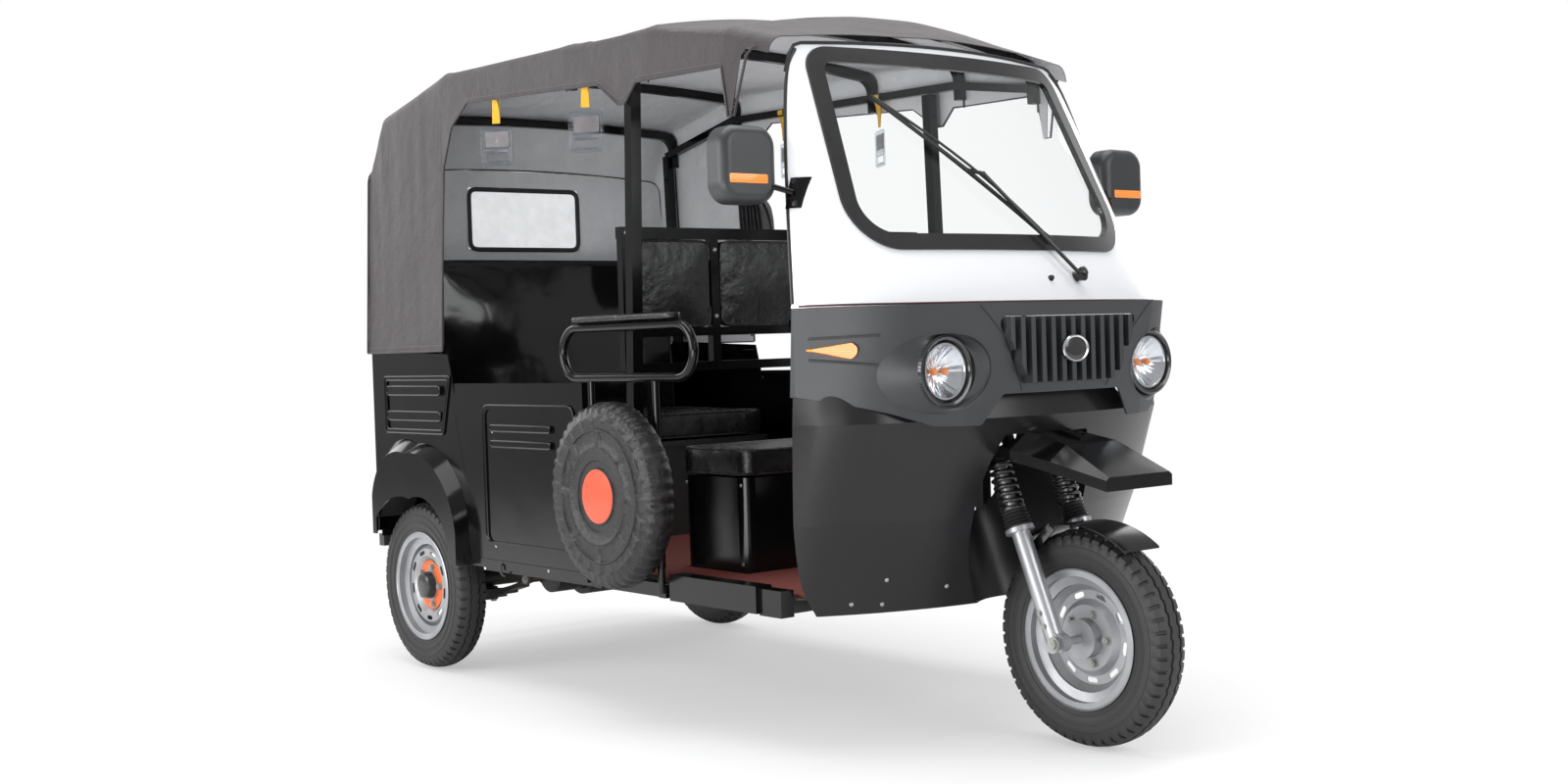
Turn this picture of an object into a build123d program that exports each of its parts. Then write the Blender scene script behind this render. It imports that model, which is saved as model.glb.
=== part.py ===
from build123d import *
import math
import os

# Electric passenger tricycle. x runs forward, y to the left, z up, in mm.
# Sizes are taken from the ground point below the rear axle; the last lines
# move every piece so that the origin is the middle of the footprint.

# Wheels and stance
wheel_base = 2241
rear_track = 1124
tyre_radius = 262
tyre_width = 104
rim_radius = 156
rim_wall = 3.5
hub_radius = 48
axle_radius = 10
running_gap = 0.05
rear_overhang = 420

# Steering
rake = math.radians(22.2)
trail = 44
fork_half = 104

# Body
body_half = 603
skin = 3
panel_gap = 0.4
floor_top = 381
rail_height = 50
sill_z = 352
belt_z = 884
rear_x = -300
door_x = 1888
mask_top = 1074
cab_top = 1742
cab_corner_top = 1726
cab_top_half = 504
cab_top_front = 1790
cab_half = 611
canopy_low = 1003
cloth = 6


def block(x0, x1, y0, y1, z0, z1):
    """A box between two corners."""
    size = Box(x1 - x0, y1 - y0, z1 - z0)
    return Pos((x0 + x1) / 2, (y0 + y1) / 2, (z0 + z1) / 2) * size


def rod(start, end, radius):
    """A round bar from one point to another."""
    along = Vector(*end) - Vector(*start)
    return extrude(Plane(origin=start, z_dir=along) * Circle(radius), along.length)


def bar(start, end, width, depth, side=(0, 1, 0)):
    """A rectangular bar from one point to another, width along side."""
    along = Vector(*end) - Vector(*start)
    across = Plane(origin=start, z_dir=along, x_dir=Vector(*side).cross(along).cross(along) * -1)
    return extrude(across * Rectangle(width, depth), along.length)


def strip(points, wall):
    """A face that follows a bent line, with its wall on the left side."""
    normals = []
    for (a, b), (c, d) in zip(points, points[1:]):
        run = math.hypot(c - a, d - b)
        normals.append(((b - d) / run, (c - a) / run))
    second = []
    for i, (a, b) in enumerate(points):
        n = normals[max(i - 1, 0)]
        m = normals[min(i, len(normals) - 1)]
        grow = wall / (1 + n[0] * m[0] + n[1] * m[1])
        second.append((a + (n[0] + m[0]) * grow, b + (n[1] + m[1]) * grow))
    return make_face(Polyline(*points, *reversed(second), close=True))


def both(piece):
    """The piece and its mirror image on the other side."""
    return piece + mirror(piece, Plane.XZ)


def front_prism(outline, x0, x1):
    """A (y, z) outline run along x."""
    return extrude(Plane(origin=(x0, 0, 0), x_dir=(0, 1, 0), z_dir=(1, 0, 0)) * outline, x1 - x0)


def side_prism(outline, y0, y1):
    """An (x, z) outline run along y."""
    return extrude(Plane(origin=(0, y1, 0), x_dir=(1, 0, 0), z_dir=(0, -1, 0)) * outline, y1 - y0)


def ring_of(outline, axis=Axis.Y):
    """A (y, radius) outline turned about the wheel axis."""
    return revolve(Plane.YZ * outline, axis)


def poly(*points):
    return make_face(Polyline(*points, close=True))


parts = {}

# Tyres and rims, each turned about y and then set on its axle
bead_half = 41.5
side_half = tyre_width / 2
tyre_wall = 9
shoulder = tyre_radius - 13


def tyre():
    outer = [
        ThreePointArc((-bead_half, rim_radius + 14), (-side_half, 212), (8 - side_half, shoulder)),
        ThreePointArc((8 - side_half, shoulder), (0, tyre_radius), (side_half - 8, shoulder)),
        ThreePointArc((side_half - 8, shoulder), (side_half, 212), (bead_half, rim_radius + 14)),
    ]
    foot = Polyline((bead_half, rim_radius + 14), (bead_half, rim_radius + 0.3), (28, rim_radius + 0.3),
                    (28, rim_radius + 16))
    inner = [
        ThreePointArc((28, rim_radius + 16), (side_half - tyre_wall, 212), (side_half - 20, shoulder - tyre_wall)),
        ThreePointArc((side_half - 20, shoulder - tyre_wall), (0, tyre_radius - tyre_wall - 3),
                      (20 - side_half, shoulder - tyre_wall)),
        ThreePointArc((20 - side_half, shoulder - tyre_wall), (tyre_wall - side_half, 212), (-28, rim_radius + 16)),
    ]
    other = Polyline((-28, rim_radius + 16), (-28, rim_radius + 0.3), (-bead_half, rim_radius + 0.3),
                     (-bead_half, rim_radius + 14))
    return ring_of(make_face(outer + foot.edges() + inner + other.edges()))


def rim(dish, hub_in, hub_out, bore):
    """A pressed steel wheel: rolled rim, slotted disc and hub; dish moves the disc along y."""
    well = strip([(46, 171), (42, 168), (42, rim_radius), (24, rim_radius), (18, 134), (-18, 134),
                  (-24, rim_radius), (-42, rim_radius), (-42, 168), (-46, 171)], rim_wall)
    face = strip([(dish, 44), (dish, 78), (dish + 14, 92), (dish + 14, 116), (dish - 4, 134 - rim_wall / 2)], rim_wall)
    hub = poly((hub_in, bore), (hub_out, bore), (hub_out, hub_radius - 14), (dish + rim_wall + 6, hub_radius - 8),
               (dish + rim_wall + 6, hub_radius), (hub_in, hub_radius))
    wheel = ring_of(well) + ring_of(face) + ring_of(hub)
    slot = Rot(X=-90) * Pos(0, 104, 0) * extrude(SlotOverall(34, 13), 60, both=True)
    for k in range(9):
        wheel -= Pos(0, dish, 0) * Rot(Y=k * 40) * slot
    return wheel


rear_y = rear_track / 2
axle_z = tyre_radius
front_hub = (-40, 40)
rear_hub_in = -34
rear_hub_out = 26
front_axle_at = Pos(wheel_base, 0, axle_z)
parts["front_tyre"] = front_axle_at * tyre()
parts["front_rim"] = front_axle_at * rim(-8, front_hub[0], front_hub[1], axle_radius + running_gap)
stub_radius = 16
for name, side in (("left", 1), ("right", -1)):
    wheel = rim(8, rear_hub_in, rear_hub_out, stub_radius + running_gap)
    if side < 0:
        wheel = mirror(wheel, Plane.XZ)
    parts["rear_tyre_" + name] = Pos(0, side * rear_y, axle_z) * tyre()
    parts["rear_rim_" + name] = Pos(0, side * rear_y, axle_z) * wheel

# Rear axle: tube with the motor and differential case, brake backplates and wheel stubs
case = Pos(0, 60, axle_z) * Rot(X=90) * Cylinder(92, 150)
case += Pos(0, -70, axle_z) * Rot(X=90) * Cylinder(74, 130)
axle = rod((0, -rear_y + 44, axle_z), (0, rear_y - 44, axle_z), 27) + case
for side in (-1, 1):
    axle += rod((0, side * (rear_y - 50), axle_z), (0, side * (rear_y + rear_hub_in - 1), axle_z), 88)
    axle += rod((0, side * (rear_y - 50), axle_z), (0, side * (rear_y + rear_hub_out + 2), axle_z), stub_radius)
    axle += rod((0, side * (rear_y + rear_hub_out + 2), axle_z), (0, side * (rear_y + rear_hub_out + 14), axle_z), 24)
parts["rear_axle"] = axle

# Leaf springs below the axle tube, with saddle clamps round it
spring_y = 395
leaf_wall = 7
leaf_half = 330
leaf_width = 50
leaf_rise = 62
leaf_top = axle_z - 27 - 2
bend = (leaf_half ** 2 + leaf_rise ** 2) / (2 * leaf_rise)
springs = Part()
for k, half in enumerate((leaf_half, 260, 190, 120)):
    outside = bend + leaf_wall * (k + 1)
    low = leaf_top - leaf_wall * (k + 1)
    ring = Circle(outside) - Circle(outside - leaf_wall)
    leaf = side_prism(Pos(0, low + outside) * ring, -leaf_width / 2, leaf_width / 2)
    springs += leaf & block(-half, half, -40, 40, low - 5, low + 100)
eye_z = leaf_top + leaf_rise - 4
for x in (-leaf_half, leaf_half):
    springs += Pos(x, 0, eye_z) * Rot(X=90) * Cylinder(13, leaf_width)
clamp = block(-45, 45, -35, 35, leaf_top - 4 * leaf_wall - 8, leaf_top - 4 * leaf_wall)
clamp += block(-45, 45, -35, 35, leaf_top, axle_z - 24) - rod((0, -60, axle_z), (0, 60, axle_z), 27 + panel_gap)
parts["leaf_springs"] = both(Pos(0, spring_y, 0) * (springs + clamp))

# Chassis: two rails, cross members, spring hangers, front uprights, steering head and rear bumper
rail_y = 395
rail_width = 40
rail_low = floor_top - skin - rail_height
rail_top = floor_top - skin
rail_front = 1800
rail_rear = rear_x - 52
ear_y = leaf_width / 2 + panel_gap + 3
frame = Part()
for side in (-1, 1):
    frame += block(rail_rear, rail_front, side * rail_y - rail_width / 2, side * rail_y + rail_width / 2,
                   rail_low, rail_top)
for x in (rear_x + 30, 360, 760, 1180, 1500, 1780):
    frame += block(x - 20, x + 20, -rail_y, rail_y, rail_low + 8, rail_top)
for side in (-1, 1):
    for x in (-leaf_half, leaf_half):
        frame += block(x - 20, x + 20, side * spring_y - 35, side * spring_y + 35, rail_low - 5, rail_low + 2)
        for ear in (-ear_y, ear_y):
            at = side * spring_y + ear
            hanger = block(x - 16, x + 16, at - 3, at + 3, eye_z - 14, rail_low + 4)
            frame += hanger + rod((x, at - 3, eye_z - 2), (x, at + 3, eye_z - 2), 16)
    # Outriggers carry the sills
    for x in (430, 760, 1180, 1500, 1780):
        frame += block(x - 14, x + 14, min(side * rail_y, side * (body_half - 32)),
                       max(side * rail_y, side * (body_half - 32)), rail_low + 14, rail_top)
axis_foot = wheel_base + trail


def on_axis(z, forward=0, y=0):
    """A point at height z on the steering axis, moved square to it."""
    return (axis_foot - z * math.tan(rake) + forward * math.cos(rake), y, z + forward * math.sin(rake))


stem_radius = 17
head_low = 776
head_high = 900
head_radius = 30
housing_radius = 196
housing_top = 757
upright_x = 1745
for side in (-1, 1):
    frame += bar((upright_x, side * 150, rail_top - 30), (upright_x, side * 150, 905), 30, 30)
    frame += bar((upright_x, side * 150, 880), on_axis(head_high - 22), 26, 26)
    frame += bar((upright_x, side * 150, 770), on_axis(head_low + 26), 26, 26)
frame += block(upright_x - 15, upright_x + 15, -165, 165, 890, 920)
frame += rod(on_axis(head_low), on_axis(head_high), head_radius)
frame -= rod(on_axis(head_low - 80), on_axis(head_high + 80), stem_radius + running_gap)
bumper_x = -rear_overhang
bumper_z = 378
for side in (-1, 1):
    frame += block(bumper_x + 20, rail_rear + 30, side * rail_y - 16, side * rail_y + 16, rail_top - 36, rail_top)
frame += block(bumper_x, bumper_x + 34, -540, 540, bumper_z - 22, bumper_z + 18)
parts["chassis_frame"] = frame

# Battery pack, one closed block under the bench
parts["battery_pack"] = block(-60, 300, -300, 300, floor_top + 0.4, floor_top + 190)


def cab_section(z, front, bend_radius, half, corner, back=1500, grow=0):
    """A level slice of the cab: curved front, rounded corners, straight sides."""
    sag = bend_radius - math.sqrt(bend_radius ** 2 - half ** 2)
    face = make_face([
        ThreePointArc((front - sag, -half), (front, 0), (front - sag, half)),
        Line((front - sag, half), (back, half)),
        Line((back, half), (back, -half)),
        Line((back, -half), (front - sag, -half)),
    ])
    ends = face.vertices().sort_by(Axis.X)[-2:]
    face = fillet(ends, corner)
    if grow:
        face = offset(face, grow)
    return Pos(0, 0, z) * face


def cab_solid(levels, grow=0):
    return loft([cab_section(*level, grow=grow) for level in levels], ruled=True)


# Lower front shell: z, front, bend, half width, corner radius of each level
shell_levels = (
    (334, 1985, 1000, 583, 60),
    (560, 2068, 1150, 598, 130),
    (800, 2140, 1350, 603, 200),
    (884, 2128, 1350, 603, 200),
)
shell_skin = 4
outer_shell = cab_solid(shell_levels)
inner_shell = cab_solid(shell_levels, grow=-shell_skin)
door_cut = side_prism(
    poly((1300, 0), (1838, 0), (1838, 334), (1842, 436), (door_x, 1088), (1733, 1738), (1733, 1900), (1300, 1900)),
    -900, 900)
scoop = rod(on_axis(200), on_axis(900), housing_radius)
scoop_skin = rod(on_axis(200), on_axis(900), housing_radius + shell_skin)
below_top = block(1200, 2600, -700, 700, 300, housing_top)
shell = outer_shell - inner_shell
housing = (scoop_skin & outer_shell & block(1200, 2600, -700, 700, 300, housing_top + shell_skin))
shell = shell + housing - (scoop & below_top)
shell -= door_cut
shell -= rod(on_axis(600), on_axis(900), stem_radius + 9)
parts["front_shell"] = shell

# Mask: front arc and side arcs back to the door edge, leaning in below, trimmed to its lower outline
mask_skin = 5
mask_foot = 760
pod_y = 315
# columns: z, front of the middle, front of the pods, front of the wing's bulge
mask_levels = (
    (mask_foot, 2166, 2139, 2044),
    (mask_top, 2227, 2200, 2086),
)


def mask_section(z, middle, pod_x, wing_x, grow=0):
    """A level slice of the mask."""
    back = 1700
    edge_x = door_x + 4
    face = make_face([
        ThreePointArc((pod_x, -pod_y), (middle, 0), (pod_x, pod_y)),
        ThreePointArc((pod_x, pod_y), (wing_x, 492), (edge_x, cab_half)),
        Line((edge_x, cab_half), (back, cab_half)),
        Line((back, cab_half), (back, -cab_half)),
        Line((back, -cab_half), (edge_x, -cab_half)),
        ThreePointArc((edge_x, -cab_half), (wing_x, -492), (pod_x, -pod_y)),
    ])
    if grow:
        face = offset(face, grow)
    return Pos(0, 0, z) * face


def mask_solid(grow=0):
    return loft([mask_section(*level, grow=grow) for level in mask_levels], ruled=True)


mask_outline = poly((0, mask_top), (0, 858), (205, 858), (262, 786), (385, 790), (470, 822), (611, 866), (700, 862),
                    (700, mask_top))
mask_outline = fillet(mask_outline.vertices().filter_by(lambda v: 100 < v.X < 500 and v.Y < 1000), 12)
grille_hole = fillet(poly((-251, 1041), (251, 1041), (157, 881), (-157, 881)).vertices(), 16)
lamp_y = 364
lamp_z = 917
lamp_radius = 84
lamp_gap = 0.3
eye_y = 373
eye_z = 914
eye_half = 126
eye_rise = 95


def eye_outline(grow=0):
    """The oval recess round the left headlamp, seen from the front."""
    return Pos(eye_y, eye_z) * Ellipse(eye_half + grow, eye_rise + grow)


# The left half is made with its lamp recess, then mirrored. The recess has a short wall down to a slanted oval
# plate, which is holed for the lamp
eye_skin = 4
eye_outer_x, eye_inner_x = 2054, 2172
eye_slant = math.atan2(eye_inner_x - eye_outer_x, 2 * eye_half)
mask_block = mask_solid()
eye = front_prism(eye_outline(), 1950, 2400)
eye_inside = front_prism(eye_outline(-eye_skin), 1950, 2400)
slanted = Plane(origin=((eye_outer_x + eye_inner_x) / 2, eye_y, eye_z),
                x_dir=(-math.sin(eye_slant), math.cos(eye_slant), 0),
                z_dir=(math.cos(eye_slant), math.sin(eye_slant), 0))
in_front = extrude(slanted.offset(-eye_skin) * Rectangle(600, 400), 300)
eye_plate = extrude(slanted.offset(-eye_skin) * Rectangle(600, 400), eye_skin)
half_mask = (mask_block - mask_solid(-mask_skin)) & front_prism(mask_outline, 1600, 2400)
half_mask -= front_prism(grille_hole, 2000, 2400)
half_mask -= eye
half_mask -= outer_shell
half_mask += mask_block & (eye - eye_inside) & in_front
half_mask += mask_block & eye & eye_plate
half_mask -= rod((2000, lamp_y, lamp_z), (2400, lamp_y, lamp_z), lamp_radius + lamp_gap)
half_mask -= door_cut
parts["front_mask"] = both(half_mask)
parts["front_shell"] -= both(front_prism(eye_outline(panel_gap), 1950, 2400))

# Grille: back plate, frame and upright slats in the mask opening
grille_shape = fillet(poly((-250.6, 1040.6), (250.6, 1040.6), (156.7, 881.4), (-156.7, 881.4)).vertices(), 15.6)
grille = front_prism(grille_shape, 2178, 2183)
slat_count = 13
slat_pitch = 35
slats = Part()
for k in range(slat_count):
    y = (k - (slat_count - 1) / 2) * slat_pitch
    slats += Pos(2197, y, 960) * Box(34, 15, 200)
grille += slats & front_prism(offset(grille_shape, -1), 2180, 2216)
parts["grille"] = grille

# Headlamps: round cases behind the mask, each with a domed lens
lamp_front = 2142
lens_radius = lamp_radius - 9.3
lens_rise = 20
lens_rim = 4
lens_ball = (lens_radius ** 2 + lens_rise ** 2) / (2 * lens_rise)
lens_turn = math.asin(lens_radius / lens_ball) / 2
lens_middle = (lens_rise - lens_ball * (1 - math.cos(lens_turn)), lens_ball * math.sin(lens_turn))
lens = make_face([
    Line((-lens_rim, 0), (-lens_rim, lens_radius)),
    Line((-lens_rim, lens_radius), (0, lens_radius)),
    ThreePointArc((0, lens_radius), lens_middle, (lens_rise, 0)),
    Line((lens_rise, 0), (-lens_rim, 0)),
])
lamps = Part()
lenses = Part()
for side in (-1, 1):
    y = side * lamp_y
    case = rod((lamp_front - 46, y, lamp_z), (lamp_front + 6, y, lamp_z), lamp_radius)
    case -= rod((lamp_front - 38, y, lamp_z), (lamp_front + 7, y, lamp_z), lamp_radius - 9)
    lamps += case
    lenses += Pos(lamp_front, y, lamp_z) * revolve(Plane.XY * lens, Axis.X)
parts["headlamps"] = lamps
parts["headlamp_lenses"] = lenses

# Indicator lamps on the mask wings
drop = make_face([
    Line((596, 978), (548, 990)),
    ThreePointArc((548, 990), (539, 971), (548, 953)),
    Line((548, 953), (596, 972)),
    ThreePointArc((596, 972), (599, 975), (596, 978)),
])
lamp_skin = mask_solid(9) - mask_solid(0.3)
amber = lamp_skin & front_prism(drop, 1850, 2200)
parts["indicator_lamps"] = both(amber)

# Windscreen panel: one pressed sheet round the screen with its lower apron and side returns
panel_levels = (
    (mask_top + panel_gap, 2106, 1750, 612, 150),
    (cab_top, cab_top_front, 1700, cab_top_half, 42),
)
panel_skin = 3.5
outer_panel = cab_solid(panel_levels)
inner_panel = cab_solid(panel_levels, grow=-panel_skin)


def screen_shape(grow=0):
    """The windscreen outline seen from the front, at the outer lip of its rubber."""
    low, high = 1207 - grow, 1722 + grow
    face = poly((-489 - grow, low), (489 + grow, low), (438 + grow, high), (-438 - grow, high))
    lower = face.vertices().sort_by(Axis.Y)[:2]
    face = fillet(lower, 118 + grow)
    upper = face.vertices().sort_by(Axis.Y)[-2:]
    return fillet(upper, 70 + grow)


rubber_width = 40
rubber_lip = 14
screen_cut = front_prism(screen_shape(-rubber_lip), 1400, 2400)
over_arch = make_face([
    ThreePointArc((-520, cab_corner_top), (0, cab_top), (520, cab_corner_top)),
    Polyline((520, cab_corner_top), (520, 1800), (-520, 1800), (-520, cab_corner_top)),
])
panel = outer_panel - inner_panel - screen_cut - door_cut - front_prism(over_arch, 1600, 2200)
panel -= rod((1900, 180, 1140), (2200, 180, 1140), 12.4)
parts["windscreen_panel"] = panel

# Rubber round the glass: an H section that grips the panel edge and the glass edge
rubber_band = front_prism(screen_shape(), 1640, 2400) - front_prism(screen_shape(-rubber_width), 1640, 2400)
rubber = (cab_solid(panel_levels, grow=7) - cab_solid(panel_levels, grow=-12)) & rubber_band
rubber -= (outer_panel - inner_panel) - screen_cut
parts["windscreen_rubber"] = rubber - door_cut
glass = (cab_solid(panel_levels, grow=-1) - cab_solid(panel_levels, grow=-6))
glass &= front_prism(screen_shape(-rubber_width - panel_gap / 2), 1640, 2400)
parts["windscreen_glass"] = glass

# Nose guard: a faceted beak over the wheel with a turned-down lip, a middle rib and two rows of vents
beak_lip = 26
beak_skin = 4
# columns: x, height of the flat top, half width of the flat, height of the edge, half width at the edge
beak = (
    (1985, 778, 70, 752, 148),
    (2150, 757, 76, 722, 166),
    (2262, 733, 92, 697, 150),
    (2406, 662, 108, 655, 118),
)


def beak_section(x, top_z, flat, edge_z, half, low, inset=0):
    outline = poly((-half + inset, low), (-half + inset, edge_z - inset), (-flat, top_z - inset),
                   (flat, top_z - inset), (half - inset, edge_z - inset), (half - inset, low))
    return Plane(origin=(x, 0, 0), x_dir=(0, 1, 0), z_dir=(1, 0, 0)) * outline


guard = loft([beak_section(*row, low=row[3] - beak_lip) for row in beak], ruled=True)
hollow_rows = [(beak[0][0] - 1,) + beak[0][1:], *beak[1:-1], (beak[-1][0] - beak_skin,) + beak[-1][1:]]
guard -= loft([beak_section(*row, low=row[3] - beak_lip - 5, inset=beak_skin) for row in hollow_rows], ruled=True)
rib = side_prism(poly((1990, 740), (1990, 790), (2160, 766), (2232, 742), (2232, 720)), -7, 7)
guard += rib - loft([beak_section(*row, low=600, inset=beak_skin) for row in hollow_rows], ruled=True)
vent_count = 4
for side in (-1, 1):
    for k in range(vent_count):
        vent = Pos(2120 + k * 24, side * 44, 740) * Rot(Z=side * 24) * Box(9, 44, 120)
        guard -= vent
guard -= outer_shell
guard -= mask_block & block(1800, 2300, -400, 400, 700, 1100)
parts["nose_guard"] = guard

# Steering: stem, lower yoke, legs with sliders, springs, axle, handlebar and tyre guard


def on_leg(z, y):
    return (wheel_base - 17 - (z - axle_z) * math.tan(rake), y, z)


yoke_z = 697
yoke = rod(on_axis(yoke_z - 14), on_axis(yoke_z + 14), 34)
for side in (-1, 1):
    yoke += bar(on_axis(yoke_z), on_leg(yoke_z + 4, side * fork_half), 40, 22, side=(1, 0, 0))
    yoke += rod(on_leg(yoke_z - 14, side * fork_half), on_leg(yoke_z + 18, side * fork_half), 26)
yoke += rod(on_axis(yoke_z), on_axis(1002), stem_radius)
parts["fork_yoke"] = yoke
spring_low = 528
spring_radius = 32
legs = Part()
coils = Part()
for side in (-1, 1):
    y = side * fork_half
    legs += rod(on_leg(spring_low, y), on_leg(yoke_z - 14, y), 15)
    legs += rod(on_leg(spring_low - 10, y), on_leg(spring_low, y), 36)
    legs += rod(on_leg(axle_z - 6, y), on_leg(spring_low, y), 23)
    legs += rod((wheel_base - 17, y - 17, axle_z), (wheel_base - 17, y + 17, axle_z), 26)
    legs += rod((wheel_base, y - 13, axle_z), (wheel_base, y + 13, axle_z), 22)
    coil = rod(on_leg(spring_low + panel_gap, y), on_leg(yoke_z - 15, y), spring_radius)
    coil -= rod(on_leg(spring_low - 8, y), on_leg(yoke_z + 8, y), spring_radius - 9)
    coils += coil
legs += rod((wheel_base, -fork_half - 26, axle_z), (wheel_base, fork_half + 26, axle_z), axle_radius)
parts["fork_legs"] = legs
parts["fork_springs"] = coils

guard_in = tyre_radius + 14
front_guard = side_prism((Circle(guard_in + 4) - Circle(guard_in)) & Pos(0, guard_in) * Rectangle(330, 220), -64, 64)
front_guard = Pos(wheel_base, 0, axle_z) * front_guard
for side in (-1, 1):
    front_guard += bar((wheel_base - 60, side * 61, axle_z + 268), (wheel_base - 100, side * 78.6, axle_z + 220), 5, 24)
parts["front_mudguard"] = front_guard

bar_z = 985
bars = rod(on_axis(bar_z - 14, 0, -60), on_axis(bar_z - 14, 0, 60), 24)
for side in (-1, 1):
    bars += rod(on_axis(bar_z, 0, side * 50), (1800, side * 180, 1035), 12)
    bars += rod((1800, side * 180, 1035), (1730, side * 330, 1040), 12)
    bars += Pos(1800, side * 180, 1035) * Sphere(12)
    bars += rod((1730, side * 330, 1040), (1672, side * 440, 1036), 17)
bars -= rod(on_axis(900), on_axis(1003), stem_radius + panel_gap)
parts["handlebar"] = bars

# Floor, mat and sills
floor_front = 1905
mat_rear = 436
mat_top = floor_top + 6
floor = block(rear_x + 12, floor_front, -(body_half - 36), body_half - 36, rail_top, floor_top)
floor &= cab_solid(shell_levels, grow=-shell_skin - panel_gap) + block(rear_x, 1700, -600, 600, 300, 500)
floor -= rod(on_axis(200), on_axis(900), housing_radius + shell_skin + panel_gap)
for side in (-1, 1):
    floor -= block(upright_x - 16, upright_x + 16, side * 150 - 16, side * 150 + 16, 300, 500)
for side in (-1, 1):
    floor -= block(-290, 290, side * rear_y - 80, side * rear_y + 80, 0, 600)
parts["floor_pan"] = floor
mat = block(mat_rear, 1840, -(body_half - 60), body_half - 60, floor_top + 0.3, mat_top)
mat -= block(upright_x - 18, upright_x + 18, -170, -130, 300, 500)
mat -= block(upright_x - 18, upright_x + 18, 130, 170, 300, 500)

seat_box = (1112, 1392, 380, 640)
mat -= block(seat_box[0] - 1, seat_box[1] + 1, -seat_box[2] - 1, seat_box[2] + 1, 300, 500)
parts["floor_mat"] = mat
step_rear = 1372
step_front = 1730
steps = block(390, step_front + 60, body_half - 32, body_half - 6, rail_low + 14, rail_top)
steps += block(step_rear, step_front, body_half - 32, body_half + 18, rail_low + 14, floor_top + 28)
steps += block(step_front, step_front + 84, body_half - 32, body_half + 8, rail_low + 10, floor_top + 22)
parts["side_steps"] = both(steps)

# Low side panels with belt rail, pressed frame and louvre ribs
panel_rear = 268
panel_front = 962
side_y = body_half - skin


def rounded(x0, x1, z0, z1, radius):
    return Pos((x0 + x1) / 2, (z0 + z1) / 2) * RectangleRounded(x1 - x0, z1 - z0, radius)


panel_outline = poly((panel_rear + 110, sill_z), (panel_front, sill_z), (panel_front, belt_z),
                     (panel_rear - 20, belt_z), (panel_rear - 20, 800))
low_panel = side_prism(panel_outline, side_y, body_half)
low_panel += side_prism(rounded(420, 920, 420, 838, 34) - rounded(432, 908, 432, 826, 26), side_y, body_half + 4)
for z in (770, 724):
    rib = side_prism(rounded(470, 800, z - 9, z + 9, 8.5), side_y, body_half + 8)
    low_panel += rib
low_panel += block(panel_rear - 20, panel_front, side_y - 26, body_half, belt_z - 4, belt_z + 18)
low_panel += block(panel_front - 24, panel_front, side_y - 24, side_y, rail_top + 0.5, belt_z)
low_panel += block(panel_rear + 110, panel_front, side_y - 2, body_half + 3, sill_z, sill_z + 26)
parts["side_panels"] = both(low_panel)

arch_radius = tyre_radius + 62
# Rear quarter panels above the wheels, with louvres in a raised frame
quarter_outline = poly((rear_x + 14, 560), (rear_x + 14, canopy_low + 10), (212, canopy_low - 12),
                       (panel_rear - 20.4, belt_z - 20), (panel_rear - 20.4, 796), (panel_rear + 109, sill_z),
                       (300, sill_z), (240, 560))
quarter = side_prism(quarter_outline, side_y, body_half)
louvre_frame = poly((-205, 745), (175, 745), (228, 925), (-205, 925))
frame_in = poly((-193, 757), (166, 757), (213, 913), (-193, 913))
quarter += side_prism(louvre_frame - frame_in, side_y, body_half + 4)
for z in (880, 800):
    quarter += side_prism(rounded(-180, 170, z - 14, z + 14, 13), side_y, body_half + 9)
quarter += block(rear_x + 14, 212, side_y - 52, side_y, canopy_low - 30, canopy_low - 27)
quarter -= Pos(0, 0, axle_z + 50) * side_prism(Circle(arch_radius), 500, 700)
parts["quarter_panels"] = both(quarter)

# Tail panel with pressed frame, and lamps at its corners
tail = block(rear_x, rear_x + skin, -(body_half - 14), body_half - 14, 400, canopy_low)
tail += front_prism(Pos(0, 720) * (RectangleRounded(820, 300, 40) - RectangleRounded(790, 270, 30)), rear_x - 5, rear_x)
for side in (-1, 1):
    tail += block(rear_x, rear_x + 14, side * (body_half - 8) - 6, side * (body_half - 8) + 6, 420, canopy_low)
parts["tail_panel"] = tail
tail_lamps = Part()
for side in (-1, 1):
    cover = Plane(origin=(rear_x - 0.4, side * 500, 640), x_dir=(0, 1, 0), z_dir=(-1, 0, 0)) * RectangleRounded(90, 200, 20)
    tail_lamps += extrude(cover, 32)
parts["rear_lamps"] = tail_lamps

# Rear fenders: pressed hoods bolted outside the panels, and wells between the panels and the floor
fender_out = 648
fender_skin = 4
fender_front_low = sill_z
fender_rear_low = 418
arch_centre = Pos(0, 0, axle_z + 50)


def arch_band(inner, outer, y0, y1):
    return arch_centre * side_prism(Circle(outer) - Circle(inner), y0, y1)


def hood_outline(y, rear, rear_z, quarter, crown, front_quarter, front, front_z, low):
    """A hood's side view: up the rear edge, over the wheel in two arcs and down the front edge."""
    outline = make_face([
        Line((rear, low), (rear, rear_z)),
        ThreePointArc((rear, rear_z), quarter, crown),
        ThreePointArc(crown, front_quarter, (front, front_z)),
        Line((front, front_z), (front, low)),
        Line((front, low), (rear, low)),
    ])
    return Plane(origin=(0, y, 0), x_dir=(1, 0, 0), z_dir=(0, -1, 0)) * outline


def hood(inset, low, y_out):
    """The hood's solid from the body side out to its face, smaller by the inset."""
    k = inset
    return loft([
        hood_outline(body_half + panel_gap - (1 if k else 0), -298 + k, 545, (-216 + k, 677 - k), (0, 712 - k),
                     (222 - k, 640 - k), 306 - k, 450, low),
        hood_outline(y_out, -244 + k, 540, (-166 + k, 655 - k), (-16, 684 - k), (206 - k, 620 - k), 300 - k, 450, low),
    ], ruled=True)


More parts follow.
